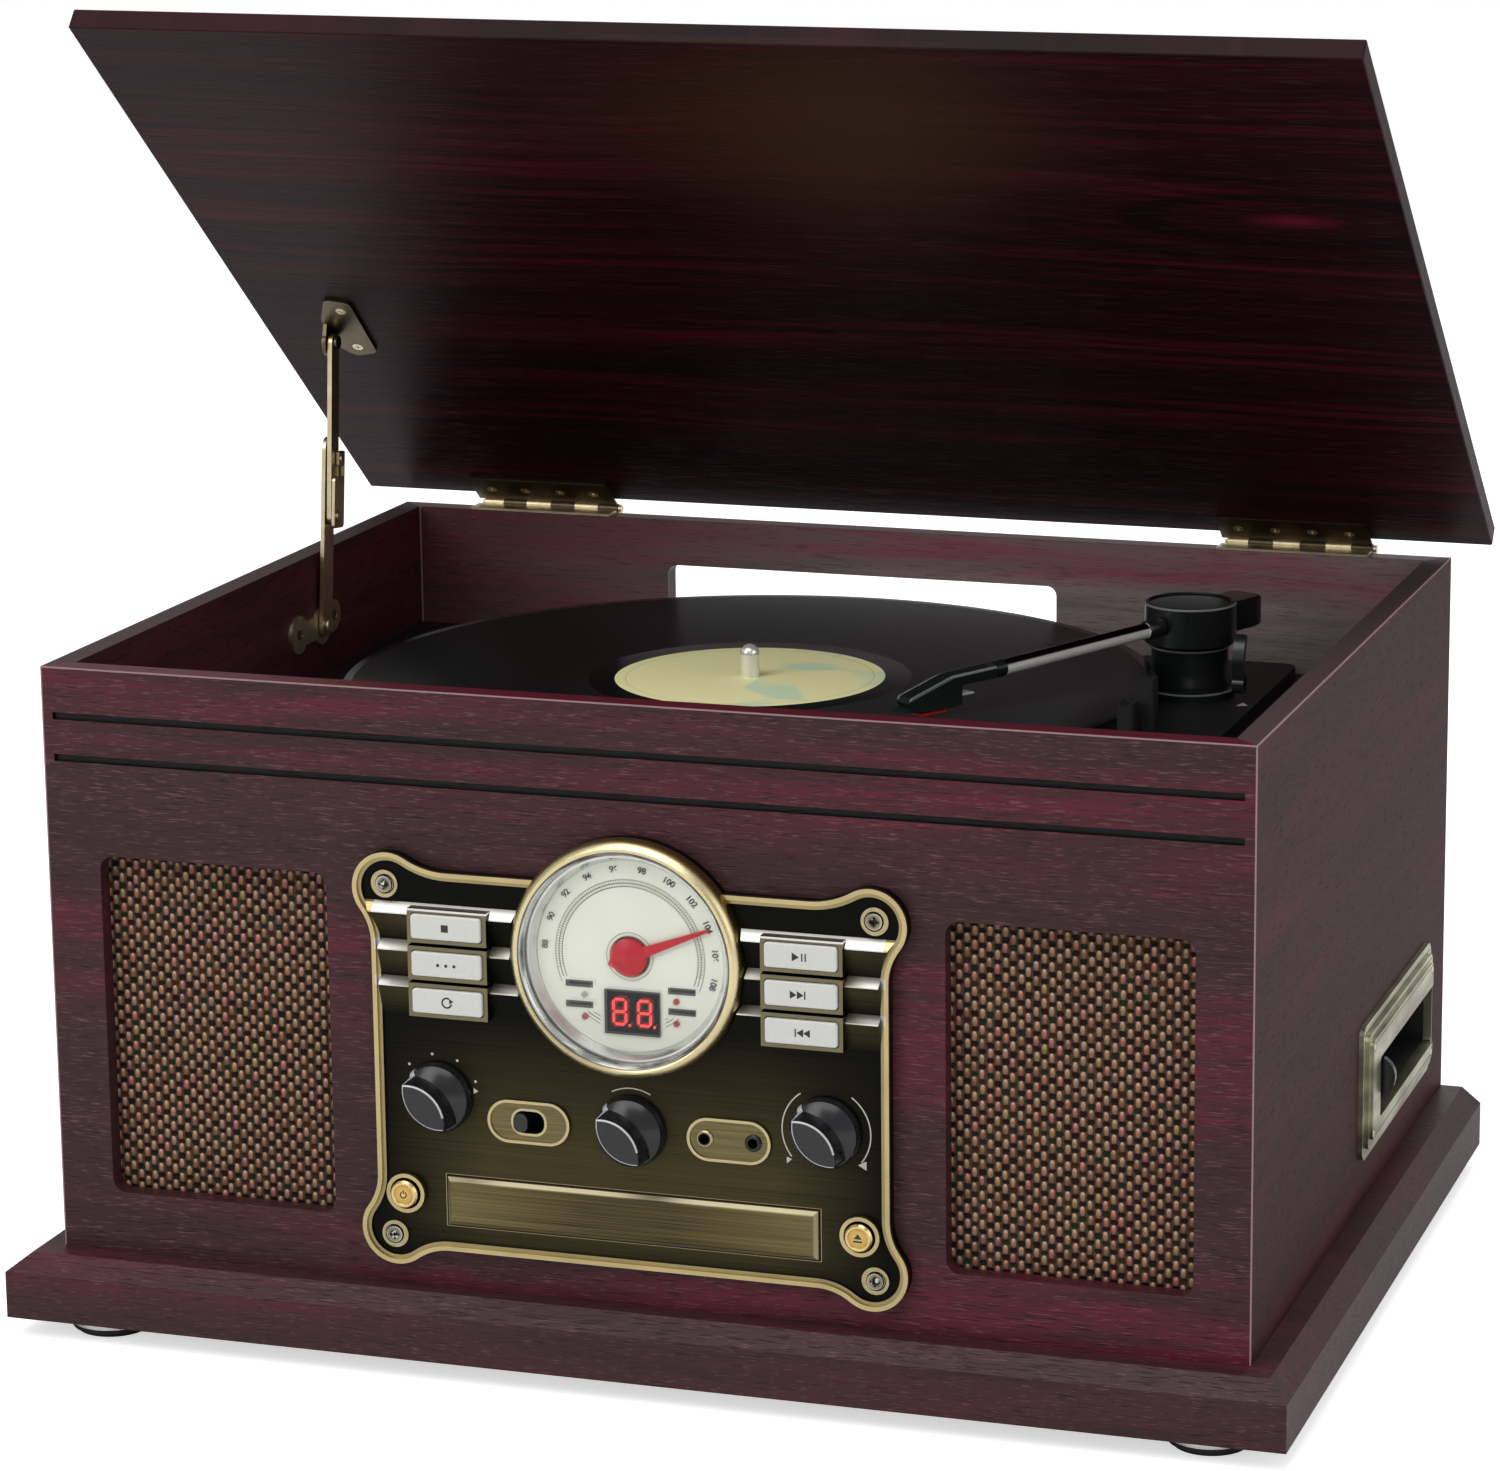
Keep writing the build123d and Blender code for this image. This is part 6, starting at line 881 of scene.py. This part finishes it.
turntable = Finish("platter")
on_spindle = (turntable.x - SPINDLE[0]).diagonal(turntable.y - SPINDLE[1]) < 0.0039
felt = turntable.mix(turntable.grain(1100, 1100, 1100, 2, 0.6), (0.006, 0.006, 0.006), (0.02, 0.02, 0.02))
turntable.set(Base_Color=turntable.mix(on_spindle, felt, (0.88, 0.86, 0.82)), Metallic=on_spindle * 0.6,
              Roughness=turntable.blend(on_spindle, 0.8, 0.16))
turntable.on("platter")
mottled("black rubber", (0.008, 0.008, 0.008), (0.02, 0.02, 0.02), 0.75, (500, 500, 500)).on("drive_belt")

# ---- Works inside
# Plain bright-plated steel of the motor, pulley and disc mechanism, and green lacquered circuit boards.
mottled("bright steel", (0.42, 0.42, 0.42), (0.60, 0.60, 0.60), (0.25, 0.4), (60, 60, 700),
        Metallic=1.0).on("platter_motor", "motor_pulley", "disc_mechanism")
boards = Finish("circuit boards")
trace = boards.grain(260, 260, 260)
boards.set(Base_Color=boards.mix(trace.rise(0.5, 0.55), (0.010, 0.045, 0.018), (0.03, 0.09, 0.035)),
           Roughness=boards.blend(trace, 0.35, 0.6))
boards.on("circuit_boards")

# ---- Hinges, lid stay and screws
# Pressed steel with an antique brass finish in patches of toning. The lid's hinge leaves and stay bracket are
# painted darker as painted shade, and the cabinet's hinge leaves and stay bracket paler as painted light. The
# front plate's screws are plated, with a cross in the head mottled with painted shade and painted highlights,
# and a dark line round the washer.
BRASS = {
    # The lid's pieces are painted dark as painted shade; the cabinet's knuckles and bracket are painted pale
    # as painted light.
    "brass leaves in painted shade": ((0.13, 0.100, 0.062), (0.045, 0.034, 0.021), 0.26, 0.5, ["hinge_lid_leaves"]),
    "antique brass bracket in painted shade": ((0.17, 0.135, 0.082), (0.075, 0.058, 0.034), 0.24, 0.5, ["stay_lid_bracket"]),
    "antique brass knuckles in painted light": ((0.92, 0.80, 0.54), (0.52, 0.43, 0.26), 0.3, 0.5,
                               ["hinge_cabinet_leaves", "stay_cabinet_bracket"]),
    "antique brass stay": ((0.80, 0.68, 0.44), (0.44, 0.35, 0.20), 0.26, 0.4,
                           ["stay_lower_arm", "stay_upper_arm"]),
    "screws": ((0.95, 0.88, 0.70), (0.55, 0.47, 0.32), 0.16, 0.6, ["lid_screws"]),
}
for finish_name, (bright_tone, toning, sheen, wear, pieces) in BRASS.items():
    gold_plating(finish_name, bright_tone, toning, sheen, wear).on(*pieces)

screws = Finish("screws and washers", Metallic=1.0)
screw_z = abs(screws.z - BED - 0.08175) - 0.06325
screw_radius = (abs(screws.x) - 0.08825).diagonal(screw_z) * 1000.0
screw_wear = screws.grain(500, 500, 500)
washer = screws.mix(screw_wear, (0.34, 0.28, 0.15), (0.62, 0.52, 0.30))
washer = screws.mix(abs(screw_radius - 3.3) < 0.22, washer, (0.02, 0.016, 0.008))
# The head's middle is mottled with painted shade and painted highlights, standing for the cross recess.
cross = screws.mix(screw_wear.rise(0.56, 0.6), (0.035, 0.03, 0.02), (0.8, 0.79, 0.74))
head = screws.mix(screw_radius.rise(2.3, 2.9), (0.26, 0.245, 0.19), (0.52, 0.49, 0.38))
head = screws.mix(1.0 - screw_radius.rise(1.2, 1.9), head, cross)
screws.set(Base_Color=screws.mix(screw_radius < 3.1, washer, head),
           Roughness=screws.blend(screw_wear, 0.2, 0.34))
screws.on("cabinet_screws")

# ---- Cassette frame
# A stepped die-cast frame with a worn brass plating: dark lines lie in its steps, and a small bright bead
# stands in each corner.
frame_brass = gold_plating("antique brass cassette frame", (0.66, 0.62, 0.44), (0.36, 0.33, 0.21), 0.26, 0.35)
along_frame = abs(frame_brass.y - FRONT - 0.2305) * 1000.0
up_frame = abs(frame_brass.z - BED - 0.0435) * 1000.0
from_edge = (62.5 - along_frame).least(25.5 - up_frame)
step_lines = (abs(from_edge - 2.9) < 0.35) + (abs(from_edge - 5.4) < 0.3) + (abs(from_edge - 7.9) < 0.3)
bead = (along_frame - 53.5).diagonal(up_frame - 16.5)
frame_shade = frame_brass.grain(0, 30, 90)
frame_tone = frame_brass.mix(frame_shade.rise(0.3, 0.7), (0.22, 0.20, 0.13), (0.66, 0.64, 0.47))
frame_tone = frame_brass.mix(step_lines.clip() * 0.85, frame_tone, (0.035, 0.028, 0.014))
frame_tone = frame_brass.mix(bead < 1.9, frame_tone, (0.05, 0.04, 0.02))
frame_brass.set(Base_Color=frame_brass.mix(bead < 1.3, frame_tone, (0.92, 0.82, 0.50)))
frame_brass.on("cassette_frame")

# ---- Feet
# Spun bright cups with a dark rubber ring under each.
feet = Finish("feet")
cup = feet.z.rise(0.0030, 0.0031)
feet.set(Base_Color=feet.mix(cup, (0.015, 0.015, 0.015), (0.80, 0.79, 0.77)), Metallic=cup * 0.55,
         Roughness=feet.blend(cup, 0.7, 0.22) + feet.grain(200, 200, 2000) * 0.08)
feet.on("feet")
